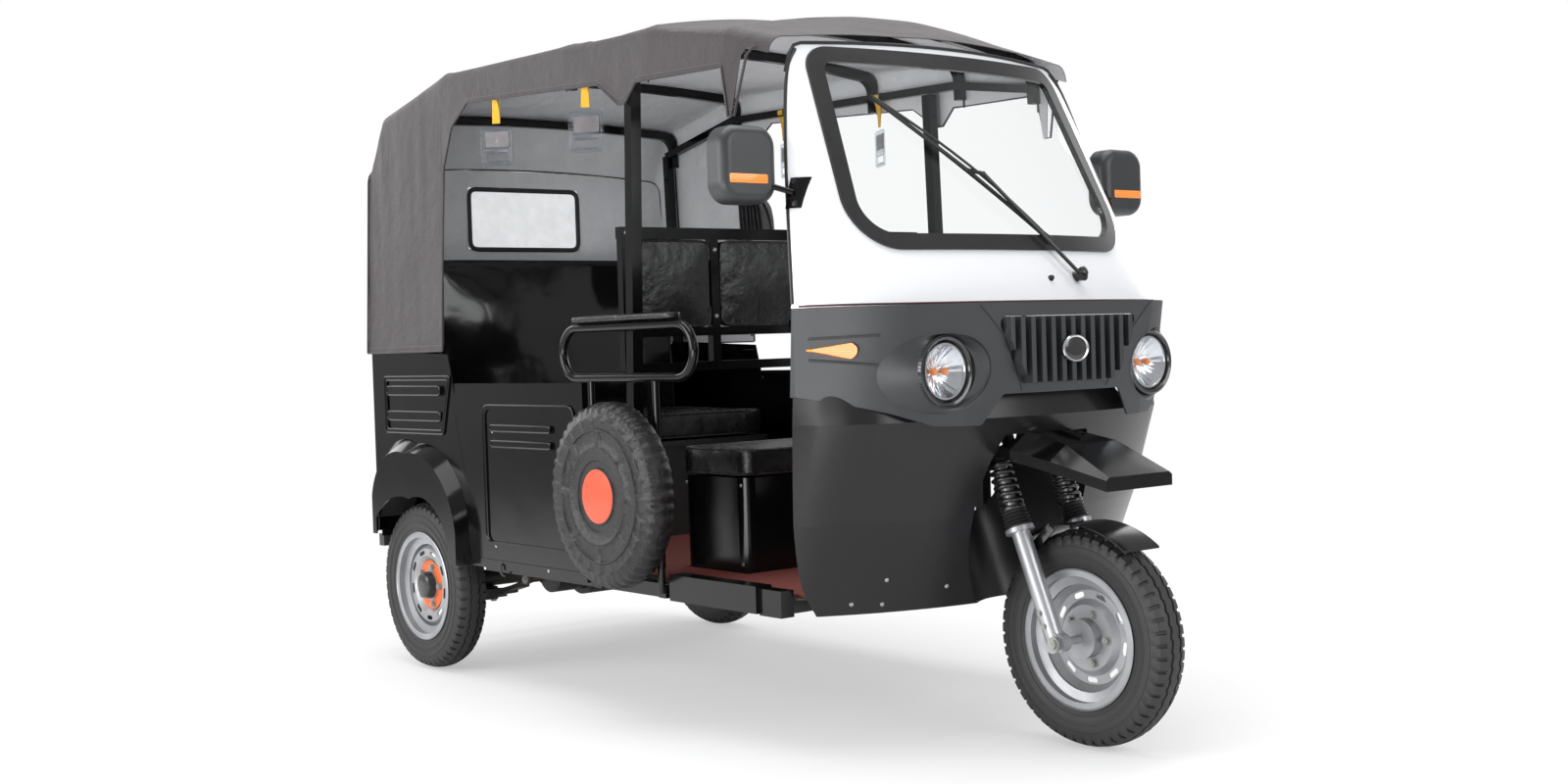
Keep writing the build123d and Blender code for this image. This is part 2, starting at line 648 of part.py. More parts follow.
wheel_opening = make_face([
    Line((-219, 300), (-219, 470)),
    ThreePointArc((-219, 470), (-140, 526), (10, 541)),
    ThreePointArc((10, 541), (190, 506), (254, 368)),
    Line((254, 368), (254, 300)),
    Line((254, 300), (-219, 300)),
])
fender = hood(0, 300, fender_out) - hood(fender_skin, 250, fender_out - fender_skin)
fender -= side_prism(wheel_opening, fender_out - 20, fender_out + 20)
fender -= block(-400, -100, 500, 700, 200, fender_rear_low)
fender -= block(-150, 400, 500, 700, 200, fender_front_low)
parts["rear_fenders"] = both(fender)
well = arch_band(arch_radius, arch_radius + fender_skin, rear_y - 78, side_y - panel_gap)
parts["wheel_wells"] = both(well & block(-286, 330, 0, 900, 430, 900))

# Driver seat: closed box with a soft cushion
box_rear, box_front, box_half, box_top = seat_box
seat = fillet(block(box_rear, box_front, -box_half, box_half, floor_top + 0.3, box_top).edges().filter_by(Axis.Z), 34)
parts["driver_seat_box"] = seat
cushion = block(box_rear - 14, box_front + 18, -box_half - 8, box_half + 8, box_top + 0.3, box_top + 82)
parts["driver_seat_cushion"] = fillet(cushion.edges().filter_by(Axis.Z), 40)

# Partition behind the driver: beams, uprights and upholstered panels
wall_x = 1085
beam_half = 548
partition = block(wall_x - 15, wall_x + 15, -beam_half, beam_half, 1290, 1322)
partition += block(wall_x - 15, wall_x + 15, -beam_half, beam_half, 1022, 1046)
partition += block(wall_x - 15, wall_x + 15, -beam_half, beam_half, 925, 950)
for y in (-533, -234, 234, 533):
    partition += block(wall_x - 12, wall_x + 12, y - 14, y + 14, 940, 1300)
for y in (-450, 450):
    partition += block(wall_x - 12, wall_x + 12, y - 14, y + 14, mat_top + 0.3, 940)
parts["partition_frame"] = partition
pads = Part()
for y0, y1 in ((-518, -249), (-219, 219), (249, 518)):
    pad = block(wall_x - 17, wall_x + 17, y0 + 0.4, y1 - 0.4, 1046.4, 1289.6)
    pads += fillet(pad.edges().filter_by(Axis.X), 18)
parts["partition_pads"] = pads

# Rear bench
bench_front = 420
bench_rear = -150
bench_z = 690
bench = block(-160, bench_front, -475, 475, bench_z - 18, bench_z)
for y in (-330, 330):
    bench += block(-150, bench_front - 30, y - 10, y + 10, floor_top + 0.3, bench_z - 18)
bench += block(bench_front - 30, bench_front - 26, -475, 475, floor_top + 0.3, bench_z - 18)
parts["bench_base"] = bench
seat_pad = block(bench_rear + 76, bench_front + 12, -470, 470, bench_z + 0.3, bench_z + 92)
parts["bench_cushion"] = fillet(seat_pad.edges().filter_by(Axis.Z), 36)
back_pad = side_prism(poly((bench_rear - 26, bench_z + 0.4), (bench_rear + 74, bench_z + 0.4), (bench_rear + 34, 1308),
                           (bench_rear - 60, 1308)), -470, 470)
parts["bench_back"] = fillet(back_pad.edges().filter_by(Axis.Y).sort_by(Axis.Z)[-2:], 30)

# Roof frame: bows, shoulder rails and rear posts, with the canopy over them
# columns: x, half width, shoulder height, crown height
bows = (
    (rear_x - 8, 585, 1600, 1625),
    (-205, 585, 1772, 1792),
    (190, 585, 1856, 1880),
    (900, 582, 1842, 1880),
    (1290, 578, 1834, 1886),
    (1600, 562, 1784, 1848),
    (1806, 530, 1738, 1764),
)
hem_half = 612


def roof_section(x, half, shoulder_z, crown, inset=0, low=canopy_low - 10):
    base = hem_half - inset
    top = half - inset
    z = shoulder_z - inset
    side = top + (base - top) * 40 / (shoulder_z - low)
    edges = [
        Line((-base, low), (-side, z - 40)),
        ThreePointArc((-side, z - 40), (-side + 13, z - 9), (-top + 44, z + 4)),
        ThreePointArc((-top + 44, z + 4), (0, crown - inset), (top - 44, z + 4)),
        ThreePointArc((top - 44, z + 4), (side - 13, z - 9), (side, z - 40)),
        Line((side, z - 40), (base, low)),
        Line((base, low), (-base, low)),
    ]
    return Plane(origin=(x, 0, 0), x_dir=(0, 1, 0), z_dir=(1, 0, 0)) * make_face(edges)


roof_outer = loft([roof_section(*row) for row in bows], ruled=True)
inner_rows = [(bows[0][0] + cloth,) + bows[0][1:]] + list(bows[1:-1]) + [(bows[-1][0] + 2,) + bows[-1][1:]]
roof_inner = loft([roof_section(*row, inset=cloth, low=canopy_low - 30) for row in inner_rows], ruled=True)
canopy = roof_outer - roof_inner
skirt = (
    (212, canopy_low - 60), (196, 1180), (214, 1560), (262, 1680), (360, 1744), (1060, 1706), (1160, 1640),
    (1190, 1640), (1240, 1690), (1590, 1682), (1618, 1556), (1640, 1556), (1676, 1690), (2100, 1690), (2100, canopy_low - 60))
canopy -= side_prism(poly(*skirt), -900, 900)
back_window = Pos(0, 1450) * RectangleRounded(440, 210, 30)
canopy -= front_prism(back_window, rear_x - 60, rear_x + 40)
brow_gap = 8
brow = make_face([
    ThreePointArc((1737 + brow_gap, -560), (cab_top_front + brow_gap, 0), (1737 + brow_gap, 560)),
    Polyline((1737 + brow_gap, 560), (1737 + brow_gap, 700), (-400, 700), (-400, -700), (1737 + brow_gap, -700),
             (1737 + brow_gap, -560)),
])
parts["canopy"] = canopy & (Pos(0, 0, 900) * extrude(brow, 1100))
parts["rear_window"] = front_prism(offset(back_window, -0.3), bows[0][0] + 1, bows[0][0] + 3)

bow_size = 24
shoulder_tube = 24
rail_in = 34
rail_down = 88


def rail_at(x):
    """Half width and height of the shoulder rail's centre at x."""
    for (x0, h0, s0, c0), (x1, h1, s1, c1) in zip(bows[1:5], bows[2:6]):
        if x0 <= x <= x1:
            share = (x - x0) / (x1 - x0)
            return h0 + (h1 - h0) * share - rail_in, s0 + (s1 - s0) * share - rail_down


frame_inset = cloth + 5
roof_tubes = Part()
for x, half, shoulder_z, crown in (((bows[1][0] + 16,) + bows[1][1:],) + bows[2:6]):
    solid = loft([roof_section(x + dx, half, shoulder_z, crown, inset=frame_inset) for dx in (-12, 12)], ruled=True)
    solid -= loft([roof_section(x + dx, half, shoulder_z, crown, inset=frame_inset + bow_size) for dx in (-13, 13)],
                  ruled=True)
    roof_tubes += solid & block(x - 30, x + 30, -900, 900, shoulder_z - 130, 2000)
for side in (-1, 1):
    for (x0, h0, s0, c0), (x1, h1, s1, c1) in zip(bows[1:5], bows[2:6]):
        roof_tubes += bar((x0, side * (h0 - rail_in), s0 - rail_down), (x1, side * (h1 - rail_in), s1 - rail_down),
                          shoulder_tube, shoulder_tube)
    roof_tubes += bar((-205, side * 572, canopy_low - 26), (-205, side * 551, 1684), 28, 28)
parts["roof_frame"] = roof_tubes

# Side posts with the oblong armrests, their legs and the spare wheel carrier
post_x = 1172
post_foot = 585
post_size = 32
arm_y = 622
arm_tube = 12
arm_low, arm_high = 916, 1052
arm_rear, arm_front = 905, 1512
arm_bend = (arm_high - arm_low) / 2
head_y, head_z = rail_at(post_x)
post_end = head_z - shoulder_tube / 2 - 2
post = bar((post_x, post_foot, rail_top + 1), (post_x, head_y, post_end), post_size, post_size)
arm = Part()
for z in (arm_low, arm_high):
    arm += rod((arm_rear + arm_bend, arm_y, z), (arm_front - arm_bend, arm_y, z), arm_tube)
    arm += rod((post_x, post_foot - 14, z), (post_x, arm_y, z), arm_tube - 2)
for x, turn in ((arm_rear + arm_bend, 90), (arm_front - arm_bend, -90)):
    bow = revolve(Plane.XZ * Pos(arm_bend, 0) * Circle(arm_tube), Axis.Z, 180)
    arm += Pos(x, arm_y, (arm_low + arm_high) / 2) * Rot(X=90) * Rot(Z=turn) * bow
arm_legs = (1040, 1340)
for x in arm_legs:
    arm += rod((x, arm_y, rail_low + 30), (x, arm_y, arm_low), 10)
    arm += block(x - 16, x + 16, body_half - 5.6, arm_y, rail_low + 18, rail_low + 48)
parts["side_posts"] = both(post + arm)

# Spare wheel in a stitched cover on the right side, held by the armrest legs
spare_x, spare_z = 1222, 612
spare_radius = 248
spare_in = arm_y + 10 + panel_gap
spare_out = 742
cover_shape = make_face([
    Line((-spare_in, 0), (-spare_in, spare_radius - 40)),
    ThreePointArc((-spare_in, spare_radius - 40), (-spare_in - 16, spare_radius - 8), (-spare_in - 44, spare_radius)),
    Line((-spare_in - 44, spare_radius), (-spare_out + 30, spare_radius - 6)),
    ThreePointArc((-spare_out + 30, spare_radius - 6), (-spare_out + 8, spare_radius - 18), (-spare_out, spare_radius - 42)),
    Line((-spare_out, spare_radius - 42), (-spare_out, 0)),
    Line((-spare_out, 0), (-spare_in, 0)),
])
spare = Pos(spare_x, 0, spare_z) * ring_of(cover_shape)
parts["spare_wheel_cover"] = spare

mid_x = (arm_front + arm_rear) / 2
pad_run = arm_front - arm_rear - 2 * arm_bend
arm_pads = block(mid_x - pad_run / 2, mid_x + pad_run / 2, arm_y - 27, arm_y + 27, arm_high + arm_tube + 0.3, arm_high + arm_tube + 20)
parts["armrest_pads"] = both(fillet(arm_pads.edges().filter_by(Axis.Z), 24))

# Mirrors on bracket arms at the cab pillars
mirror_x, mirror_y, mirror_z = 1792, 668, 1416
foot = cab_solid(panel_levels, grow=6.3) - cab_solid(panel_levels, grow=0.3)
foot &= block(1836, 1872, 500, 700, 1312, 1386)
arms = foot + rod((1852, 566, 1350), (1800, 628, 1376), 7)
parts["mirror_arms"] = both(arms)
housing = block(mirror_x - 30, mirror_x + 34, mirror_y - 82, mirror_y + 82, mirror_z - 92, mirror_z + 92)
housing = fillet(housing.edges().filter_by(Axis.X), 50)
housing = fillet(housing.faces().sort_by(Axis.X)[-1].edges(), 24)
housing -= rod((1852, 566, 1350), (1799, 629.2, 1376.5), 7.4)
parts["mirror_housings"] = both(housing)

# Dashboard across the cab behind the apron
dash = side_prism(poly((2024, 1048), (2110, 1085), (2110, 1165), (2024, 1150)), -400, 400)
dash += side_prism(poly((1890, 1124), (2030, 1124), (2030, 1150), (1960, 1195), (1868, 1180)), -120, 120)
dash -= cab_solid(panel_levels, grow=300) - cab_solid(panel_levels, grow=-panel_skin - panel_gap)
dash -= rod((2040, 180, 1140), (2200, 180, 1140), 13)
parts["dashboard"] = dash - rod(on_axis(900), on_axis(1200), 60)

# Wiper: spindle through the apron, arm and blade on the glass
screen_slope = math.atan2(2106 - cab_top_front, cab_top - mask_top - 1)


def on_screen(y, z, lift):
    """A point over the windscreen surface, lifted off it along x."""
    front = 2106 - (z - mask_top - 1) * math.tan(screen_slope)
    return (front - (1725 - math.sqrt(1725 ** 2 - y * y)) + lift, y, z)


wiper = rod(on_screen(180, 1140, -3.5), on_screen(180, 1140, 30), 12)
wiper_bend = on_screen(-60, 1400, 34)
wiper += rod(on_screen(180, 1140, 22), wiper_bend, 5) + Pos(*wiper_bend) * Sphere(6)
blade_middle = on_screen(-90, 1410, 14)
wiper += rod(wiper_bend, blade_middle, 5) + Pos(*blade_middle) * Sphere(6)
for y, z in ((-300, 1590), (120, 1230)):
    wiper += rod(on_screen(y, z, 14), blade_middle, 5)
parts["wiper"] = wiper

# Hand straps under the roof: webbing loops with a flat plastic grip
straps = Part()
for x in (465, 944):
    y, z = rail_at(x)
    z -= shoulder_tube / 2 + 1.2
    straps += block(x - 14, x + 14, y - 2, y + 2, z - 90, z)
    grip = Box(100, 8, 118) - Pos(0, 0, -38) * Box(70, 12, 26)
    straps += Pos(x, y, z - 145) * grip
parts["hand_straps"] = both(straps)

middle_x = (wheel_base + tyre_radius - rear_overhang) / 2
os.makedirs("parts", exist_ok=True)
for name, piece in parts.items():
    export_step(Pos(-middle_x, 0, 0) * piece, "parts/" + name + ".step")
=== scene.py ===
"""Looks of the electric passenger tricycle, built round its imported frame."""

import math

import bmesh
import bpy
import numpy as np
from mathutils import Matrix, Vector, noise
from mathutils.bvhtree import BVHTree


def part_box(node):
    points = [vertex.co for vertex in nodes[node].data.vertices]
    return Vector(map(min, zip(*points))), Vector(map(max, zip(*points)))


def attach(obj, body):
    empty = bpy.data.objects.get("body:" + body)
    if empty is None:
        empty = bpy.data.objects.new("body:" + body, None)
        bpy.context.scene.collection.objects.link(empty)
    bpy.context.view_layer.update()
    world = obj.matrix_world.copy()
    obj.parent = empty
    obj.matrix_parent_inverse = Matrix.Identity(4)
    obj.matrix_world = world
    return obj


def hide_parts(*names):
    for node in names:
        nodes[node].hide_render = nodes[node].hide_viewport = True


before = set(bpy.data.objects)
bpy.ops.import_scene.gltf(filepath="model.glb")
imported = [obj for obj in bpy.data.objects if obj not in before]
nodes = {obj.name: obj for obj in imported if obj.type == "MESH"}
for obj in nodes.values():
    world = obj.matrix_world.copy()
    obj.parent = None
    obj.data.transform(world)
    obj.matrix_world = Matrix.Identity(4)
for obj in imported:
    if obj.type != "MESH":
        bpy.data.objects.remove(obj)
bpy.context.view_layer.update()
scene = bpy.context.scene
scene.view_settings.view_transform = "Standard"

# Places are worked out from the ground point below the rear axle, in mm: x forward, y left, z up.
rear_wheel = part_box("rear_rim_left")
rear_axle_x = (rear_wheel[0].x + rear_wheel[1].x) / 2


def spot(x, y, z):
    """A place on the vehicle, in the frame's metres."""
    return Vector((rear_axle_x + x / 1000, y / 1000, z / 1000))


# Studio: the camera stands off the right front corner at about a metre's height, where the photographer
# stood.
camera_place = (5138.4, -3286.2, 996.4)
camera_turn, camera_pitch, camera_roll = (math.radians(v) for v in (50.867, 1.585, -1.801))
camera = bpy.data.objects.new("camera", bpy.data.cameras.new("camera"))
camera.data.sensor_width = 36
camera.data.lens = 41.29
camera.matrix_world = (
    Matrix.Translation(spot(*camera_place))
    @ Matrix.Rotation(camera_turn, 4, "Z")
    @ Matrix.Rotation(math.pi / 2 - camera_pitch, 4, "X")
    @ Matrix.Rotation(camera_roll, 4, "Z")
)
scene.collection.objects.link(camera)
scene.camera = camera


class Wire:
    """One socket of a node tree; plus, minus, times and the rest become Math nodes."""

    def __init__(self, tree, socket=None):
        self.tree = tree
        self.socket = socket

    def make(self, kind, settings=None, values=None, out=0):
        """Adds a node: its settings first, then values or links for its sockets; gives one output."""
        node = self.tree.nodes.new(kind)
        for name, value in (settings or {}).items():
            if name == "stops":
                ramp = node.color_ramp
                while len(ramp.elements) < len(value):
                    ramp.elements.new(0.5)
                for element, (place, colour) in zip(ramp.elements, value):
                    element.position = place
                    element.color = (*colour, 1)
            else:
                setattr(node, name, value)
        for name, value in (values or {}).items():
            self.feed(node.inputs[name], value)
        return Wire(self.tree, node.outputs[out])

    def feed(self, target, value):
        if isinstance(value, Wire):
            self.tree.links.new(value.socket, target)
        else:
            target.default_value = value

    def maths(self, operation, first, second=0.0, clamp=False):
        return self.make("ShaderNodeMath", {"operation": operation, "use_clamp": clamp},
                         {0: first, 1: second})

    def __add__(self, other):
        return self.maths("ADD", self, other)

    def __sub__(self, other):
        return self.maths("SUBTRACT", self, other)

    def __rsub__(self, other):
        return self.maths("SUBTRACT", other, self)

    def __mul__(self, other):
        return self.maths("MULTIPLY", self, other)

    def __truediv__(self, other):
        return self.maths("DIVIDE", self, other)

    def __pow__(self, other):
        return self.maths("POWER", self, other)

    def __gt__(self, other):
        return self.maths("GREATER_THAN", self, other)

    def __lt__(self, other):
        return self.maths("LESS_THAN", self, other)

    __radd__ = __add__
    __rmul__ = __mul__


# White sweep: a pale floor that fades into a white room, so only the soft shadow of the vehicle shows on
# it.
world = bpy.data.worlds.new("room")
scene.world = world
world.use_nodes = True
room = Wire(world.node_tree)
room_shader = world.node_tree.nodes["Background"]
path = world.node_tree.nodes.new("ShaderNodeLightPath")
seen = room.maths(
    "MAXIMUM",
    room.maths("MAXIMUM", Wire(world.node_tree, path.outputs["Is Camera Ray"]),
               Wire(world.node_tree, path.outputs["Is Transmission Ray"])),
    Wire(world.node_tree, path.outputs["Is Glossy Ray"]) * 0.15,
)
room_shader.inputs["Color"].default_value = (1, 1, 1, 1)
room.feed(room_shader.inputs["Strength"], seen * 0.62 + 0.38)

floor_mesh = bpy.data.meshes.new("floor")
floor_half = 14
floor_mesh.from_pydata([(x, y, -0.0005) for x, y in ((-floor_half, -floor_half), (floor_half, -floor_half),
                                                    (floor_half, floor_half), (-floor_half, floor_half))],
                       [], [(0, 1, 2, 3)])
floor = bpy.data.objects.new("floor", floor_mesh)
scene.collection.objects.link(floor)
floor_paint = bpy.data.materials.new("floor_paint")
floor_paint.use_nodes = True
floor_mesh.materials.append(floor_paint)
ground = Wire(floor_paint.node_tree)
floor_shader = floor_paint.node_tree.nodes["Principled BSDF"]
floor_shader.inputs["Base Color"].default_value = (0.88, 0.88, 0.885, 1)
floor_shader.inputs["Roughness"].default_value = 0.85
glow = ground.make("ShaderNodeEmission", None, {"Color": (1, 1, 1, 1), "Strength": 1.0})
ray = floor_paint.node_tree.nodes.new("ShaderNodeLightPath")
direct = ground.maths("MAXIMUM", Wire(ground.tree, ray.outputs["Is Camera Ray"]),
                      Wire(ground.tree, ray.outputs["Is Transmission Ray"]))
place = ground.make("ShaderNodeTexCoord", None, None, "Object")
distance = ground.make("ShaderNodeVectorMath", {"operation": "LENGTH"}, {0: place}, "Value")
fade = ground.make("ShaderNodeMapRange", {"interpolation_type": "SMOOTHSTEP"},
                   {"Value": distance, "From Min": 2.2, "From Max": 5.5, "To Min": 0.42, "To Max": 1.0})
blend = ground.make("ShaderNodeMixShader", None,
                    {0: fade * direct, 1: Wire(ground.tree, floor_shader.outputs[0]), 2: glow})
ground.feed(floor_paint.node_tree.nodes["Material Output"].inputs["Surface"], blend)


def soft_box(name, place, aim, width, height, power):
    """A rectangular studio lamp at one place that points at another."""
    lamp = bpy.data.lights.new(name, "AREA")
    lamp.shape = "RECTANGLE"
    lamp.size = width
    lamp.size_y = height
    lamp.energy = power
    holder = bpy.data.objects.new(name, lamp)
    holder.location = place
    holder.rotation_euler = (Vector(aim) - Vector(place)).to_track_quat("-Z", "Y").to_euler()
    scene.collection.objects.link(holder)


soft_box("top_box", (0.2, 0, 5.2), (0, 0, 0.8), 6, 4, 250)
soft_box("side_box", (-1.6, -5.2, 2.2), (-0.4, 0, 0.9), 4.6, 2.4, 210)
soft_box("low_box", (1.9, -4.4, 0.5), (-0.6, 0, 1.7), 3, 1.0, 75)
soft_box("front_box", (5.6, 0.9, 2.6), (1.0, 0, 0.9), 4, 2.6, 130)
soft_box("far_box", (-1.5, 5.2, 2.8), (0, 0, 1.0), 5, 2.6, 90)
soft_box("rear_box", (-5.6, -1.0, 2.6), (-1.0, 0, 1.0), 4, 2.6, 80)

# Chassis: a ladder of welded square tube with outriggers, front uprights and a rear bumper bar.
# Mild steel, sprayed semi-gloss black after welding; a little road dust stays on it low down.
def new_finish(name, **constants):
    """A material whose constant values sit on the shader's own sockets."""
    material = bpy.data.materials.new(name)
    material.use_nodes = True
    shader = material.node_tree.nodes["Principled BSDF"]
    for socket, value in constants.items():
        shader.inputs[socket.replace("_", " ")].default_value = value
    return material, Wire(material.node_tree), shader


def grain(wire, scale, detail=2.0, rough=0.5, stretch=(1, 1, 1)):
    """Noise on the piece's own place, from 0 to 1."""
    place = wire.make("ShaderNodeTexCoord", None, None, "Object")
    turned = wire.make("ShaderNodeMapping", None, {"Vector": place, "Scale": stretch})
    return wire.make("ShaderNodeTexNoise", None, {"Vector": turned, "Scale": scale, "Detail": detail,
                                                  "Roughness": rough}, "Fac")


def height_of(wire):
    """The z of a point, in metres above the ground."""
    place = wire.make("ShaderNodeTexCoord", None, None, "Object")
    return wire.make("ShaderNodeSeparateXYZ", None, {0: place}, "Z")


def blend_colours(wire, share, first, second):
    """One colour turning to another as the share goes from 0 to 1."""
    return wire.make("ShaderNodeMix", {"data_type": "RGBA"},
                     {0: share, 6: first if isinstance(first, Wire) else (*first, 1),
                      7: second if isinstance(second, Wire) else (*second, 1)}, 2)


def tinted(wire, shader, share, first, second):
    """Base Color from one colour to another."""
    wire.feed(shader.inputs["Base Color"], blend_colours(wire, share, first, second))


def relief(wire, shader, height, strength, depth):
    """Feeds a height into the normal as a bump of that depth in metres."""
    bump = wire.make("ShaderNodeBump", None, {"Height": height, "Strength": strength, "Distance": depth})
    wire.feed(shader.inputs["Normal"], bump)


road_dust = (0.16, 0.145, 0.125)


def paint(name, colour, gloss, wave=0.0, dust=0.25, **constants):
    """Sprayed enamel: fine orange peel, slow waves of the sheet and dust below knee height."""
    material, wire, shader = new_finish(name, **constants)
    patches = grain(wire, 5, 4)
    low = wire.make("ShaderNodeMapRange", {"interpolation_type": "SMOOTHSTEP"},
                    {"Value": height_of(wire), "From Min": 0.2, "From Max": 0.62, "To Min": 1.0,
                     "To Max": 0.0})
    film = low * patches * dust
    tinted(wire, shader, film, colour, road_dust)
    wire.feed(shader.inputs["Roughness"], film * 0.5 + patches * 0.08 + gloss)
    relief(wire, shader, grain(wire, 420, 1) * 0.04 + grain(wire, 5, 1) * wave, 0.35, 0.004)
    return material


def coat(material, *names):
    """Gives CAD nodes their finish."""
    for name in names:
        node = nodes[name]
        node.data.materials.clear()
        node.data.materials.append(material)


chassis_black = paint("chassis_black", (0.012, 0.012, 0.013), 0.34, dust=0.5)
coat(chassis_black, "chassis_frame", "floor_pan", "bench_base", "wheel_wells", "fork_yoke",
     "front_mudguard")


# Rear axle and leaf springs: a motor case bolted to the axle tube, hung on two packs of four spring leaves.
# The case is cast iron left rough under thin paint; the leaves are dark oiled spring steel.
def rough_metal(name, colour, metallic, gloss, pit_scale, pit):
    """Cast or rolled metal: pits and stains that break up its shine."""
    material, wire, shader = new_finish(name)
    stains = grain(wire, 9, 5)
    pits = grain(wire, pit_scale, 3)
    tinted(wire, shader, stains, colour, tuple(c * 0.45 for c in colour))
    wire.feed(shader.inputs["Metallic"], stains * -0.25 + metallic)
    wire.feed(shader.inputs["Roughness"], stains * 0.25 + gloss)
    relief(wire, shader, pits, pit, 0.001)
    return material


cast_iron = rough_metal("cast_iron", (0.05, 0.048, 0.046), 0.55, 0.42, 160, 0.5)
spring_steel = rough_metal("spring_steel", (0.06, 0.052, 0.046), 0.75, 0.3, 240, 0.2)
coat(cast_iron, "rear_axle")
coat(spring_steel, "leaf_springs", "fork_springs")
battery_case = paint("battery_case", (0.02, 0.021, 0.023), 0.4)
coat(battery_case, "battery_pack")

# Bolts of the running gear: zinc-plated hexagon heads on washers, at the spring hangers, the axle clamps
# and the
# bumper bar. Pressed and rolled steel, turned in with an impact driver after painting.
def piece_of(name, shape, body, slot, *materials, crease=35):
    """A finished piece that rides on a body, from a mesh or bmesh; smooth up to the crease angle."""
    mesh = shape
    if isinstance(shape, bmesh.types.BMesh):
        bmesh.ops.remove_doubles(shape, verts=shape.verts, dist=1e-5)
        bmesh.ops.recalc_face_normals(shape, faces=shape.faces)
        mesh = bpy.data.meshes.new(name)
        shape.to_mesh(mesh)
        shape.free()
    if materials:
        mesh.materials.clear()
        for material in materials:
            mesh.materials.append(material)
    mesh.polygons.foreach_set("use_smooth", [True] * len(mesh.polygons))
    mesh.set_sharp_from_angle(angle=math.radians(crease))
    piece = bpy.data.objects.new(name, mesh)
    scene.collection.objects.link(piece)
    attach(piece, body)
    return piece


def grown(name, material, build, base=None, **sizes):
    """Runs a Geometry Nodes tree with these named sizes once and gives its plain mesh."""
    tree = bpy.data.node_groups.new(name, "GeometryNodeTree")
    tree.interface.new_socket(name="Geometry", in_out="INPUT", socket_type="NodeSocketGeometry")
    tree.interface.new_socket(name="Geometry", in_out="OUTPUT", socket_type="NodeSocketGeometry")
    for size, value in sizes.items():
        kind = "NodeSocketInt" if isinstance(value, int) else "NodeSocketFloat"
        tree.interface.new_socket(name=size, in_out="INPUT", socket_type=kind)
    entry = tree.nodes.new("NodeGroupInput")
    wire = Wire(tree)
    given = {size: Wire(tree, entry.outputs[size]) for size in sizes}
    shape = build(wire, given, Wire(tree, entry.outputs["Geometry"]))
    shape = wire.make("GeometryNodeRealizeInstances", None, {"Geometry": shape})
    shape = wire.make("GeometryNodeSetMaterial", None, {"Geometry": shape, "Material": material})
    wire.feed(tree.nodes.new("NodeGroupOutput").inputs[0], shape)
    seed = bpy.data.objects.new(name + "_seed", base or bpy.data.meshes.new(name + "_seed"))
    scene.collection.objects.link(seed)
    modifier = seed.modifiers.new("grow", "NODES")
    modifier.node_group = tree
    for socket in tree.interface.items_tree:
        if socket.in_out == "INPUT" and socket.name in sizes:
            modifier[socket.identifier] = sizes[socket.name]
    mesh = bpy.data.meshes.new_from_object(seed.evaluated_get(bpy.context.evaluated_depsgraph_get()))
    bpy.data.objects.remove(seed)
    return mesh


def seats_mesh(seats):
    """Loose points that carry the way each fastener faces."""
    mesh = bpy.data.meshes.new("seats")
    mesh.from_pydata([tuple(spot(*place)) for place, facing in seats], [], [])
    facings = mesh.attributes.new("facing", "FLOAT_VECTOR", "POINT")
    for point, (place, facing) in zip(facings.data, seats):
        point.vector = Vector(facing).normalized()
    return mesh


def on_seats(wire, shape, points):
    """One copy of a shape on each point, turned so that its z faces out."""
    facing = wire.make("GeometryNodeInputNamedAttribute", {"data_type": "FLOAT_VECTOR"}, {"Name": "facing"})
    turn = wire.make("FunctionNodeAlignRotationToVector", {"axis": "Z"}, {"Vector": facing})
    return wire.make("GeometryNodeInstanceOnPoints", None,
                     {"Points": points, "Instance": shape, "Rotation": turn}, "Instances")


def hexagon_bolt(wire, given, points):
    """A washer with a hexagon head and the end of the screw on it."""
    parts_of = []
    for sides, share, low, high in ((20, 1.35, -0.1, 0.16), (6, 1.0, 0.16, 0.85), (12, 0.45, 0.85, 1.0)):
        body = wire.make("GeometryNodeMeshCylinder", None,
                         {"Vertices": sides, "Radius": given["radius"] * share,
                          "Depth": given["height"] * (high - low)}, "Mesh")
        lift = wire.make("ShaderNodeCombineXYZ", None, {"Z": given["height"] * ((low + high) / 2)})
        parts_of.append(wire.make("GeometryNodeTransform", None, {"Geometry": body, "Translation": lift}))
    join = wire.tree.nodes.new("GeometryNodeJoinGeometry")
    for part in parts_of:
        wire.tree.links.new(part.socket, join.inputs[0])
    return on_seats(wire, Wire(wire.tree, join.outputs[0]), points)


def round_screw(wire, given, points):
    """A low domed screw head."""
    dome = wire.make("GeometryNodeMeshUVSphere", None,
                     {"Segments": 16, "Rings": 8, "Radius": given["radius"]}, "Mesh")
    flat = wire.make("ShaderNodeCombineXYZ", None,
                     {"X": 1.0, "Y": 1.0, "Z": given["height"] / given["radius"]})
    return on_seats(wire, wire.make("GeometryNodeTransform", None, {"Geometry": dome, "Scale": flat}),
                    points)


def fasten(name, body, slot, material, seats, radius, height, build=hexagon_bolt):
    """Puts one kind of fastener on all its seats as one piece."""
    mesh = grown(name, material, build, seats_mesh(seats), radius=radius / 1000, height=height / 1000)
    return piece_of(name, mesh, body, slot)


zinc = rough_metal("zinc", (0.5, 0.5, 0.48), 0.9, 0.3, 300, 0.1)
gear_bolts = []
for side in (-1, 1):
    for x in (-330, 330):
        gear_bolts.append(((x, side * 426.5, 289), (0, side, 0)))
    for x, y in ((-32, -26), (-32, 26), (32, -26), (32, 26)):
        gear_bolts.append(((x, side * 395 + y, 197), (0, 0, -1)))
    gear_bolts.append(((-420, side * 395, 360), (-1, 0, 0)))
fasten("running_gear_bolts", "root", "silver_metal", zinc, gear_bolts, 10, 8)

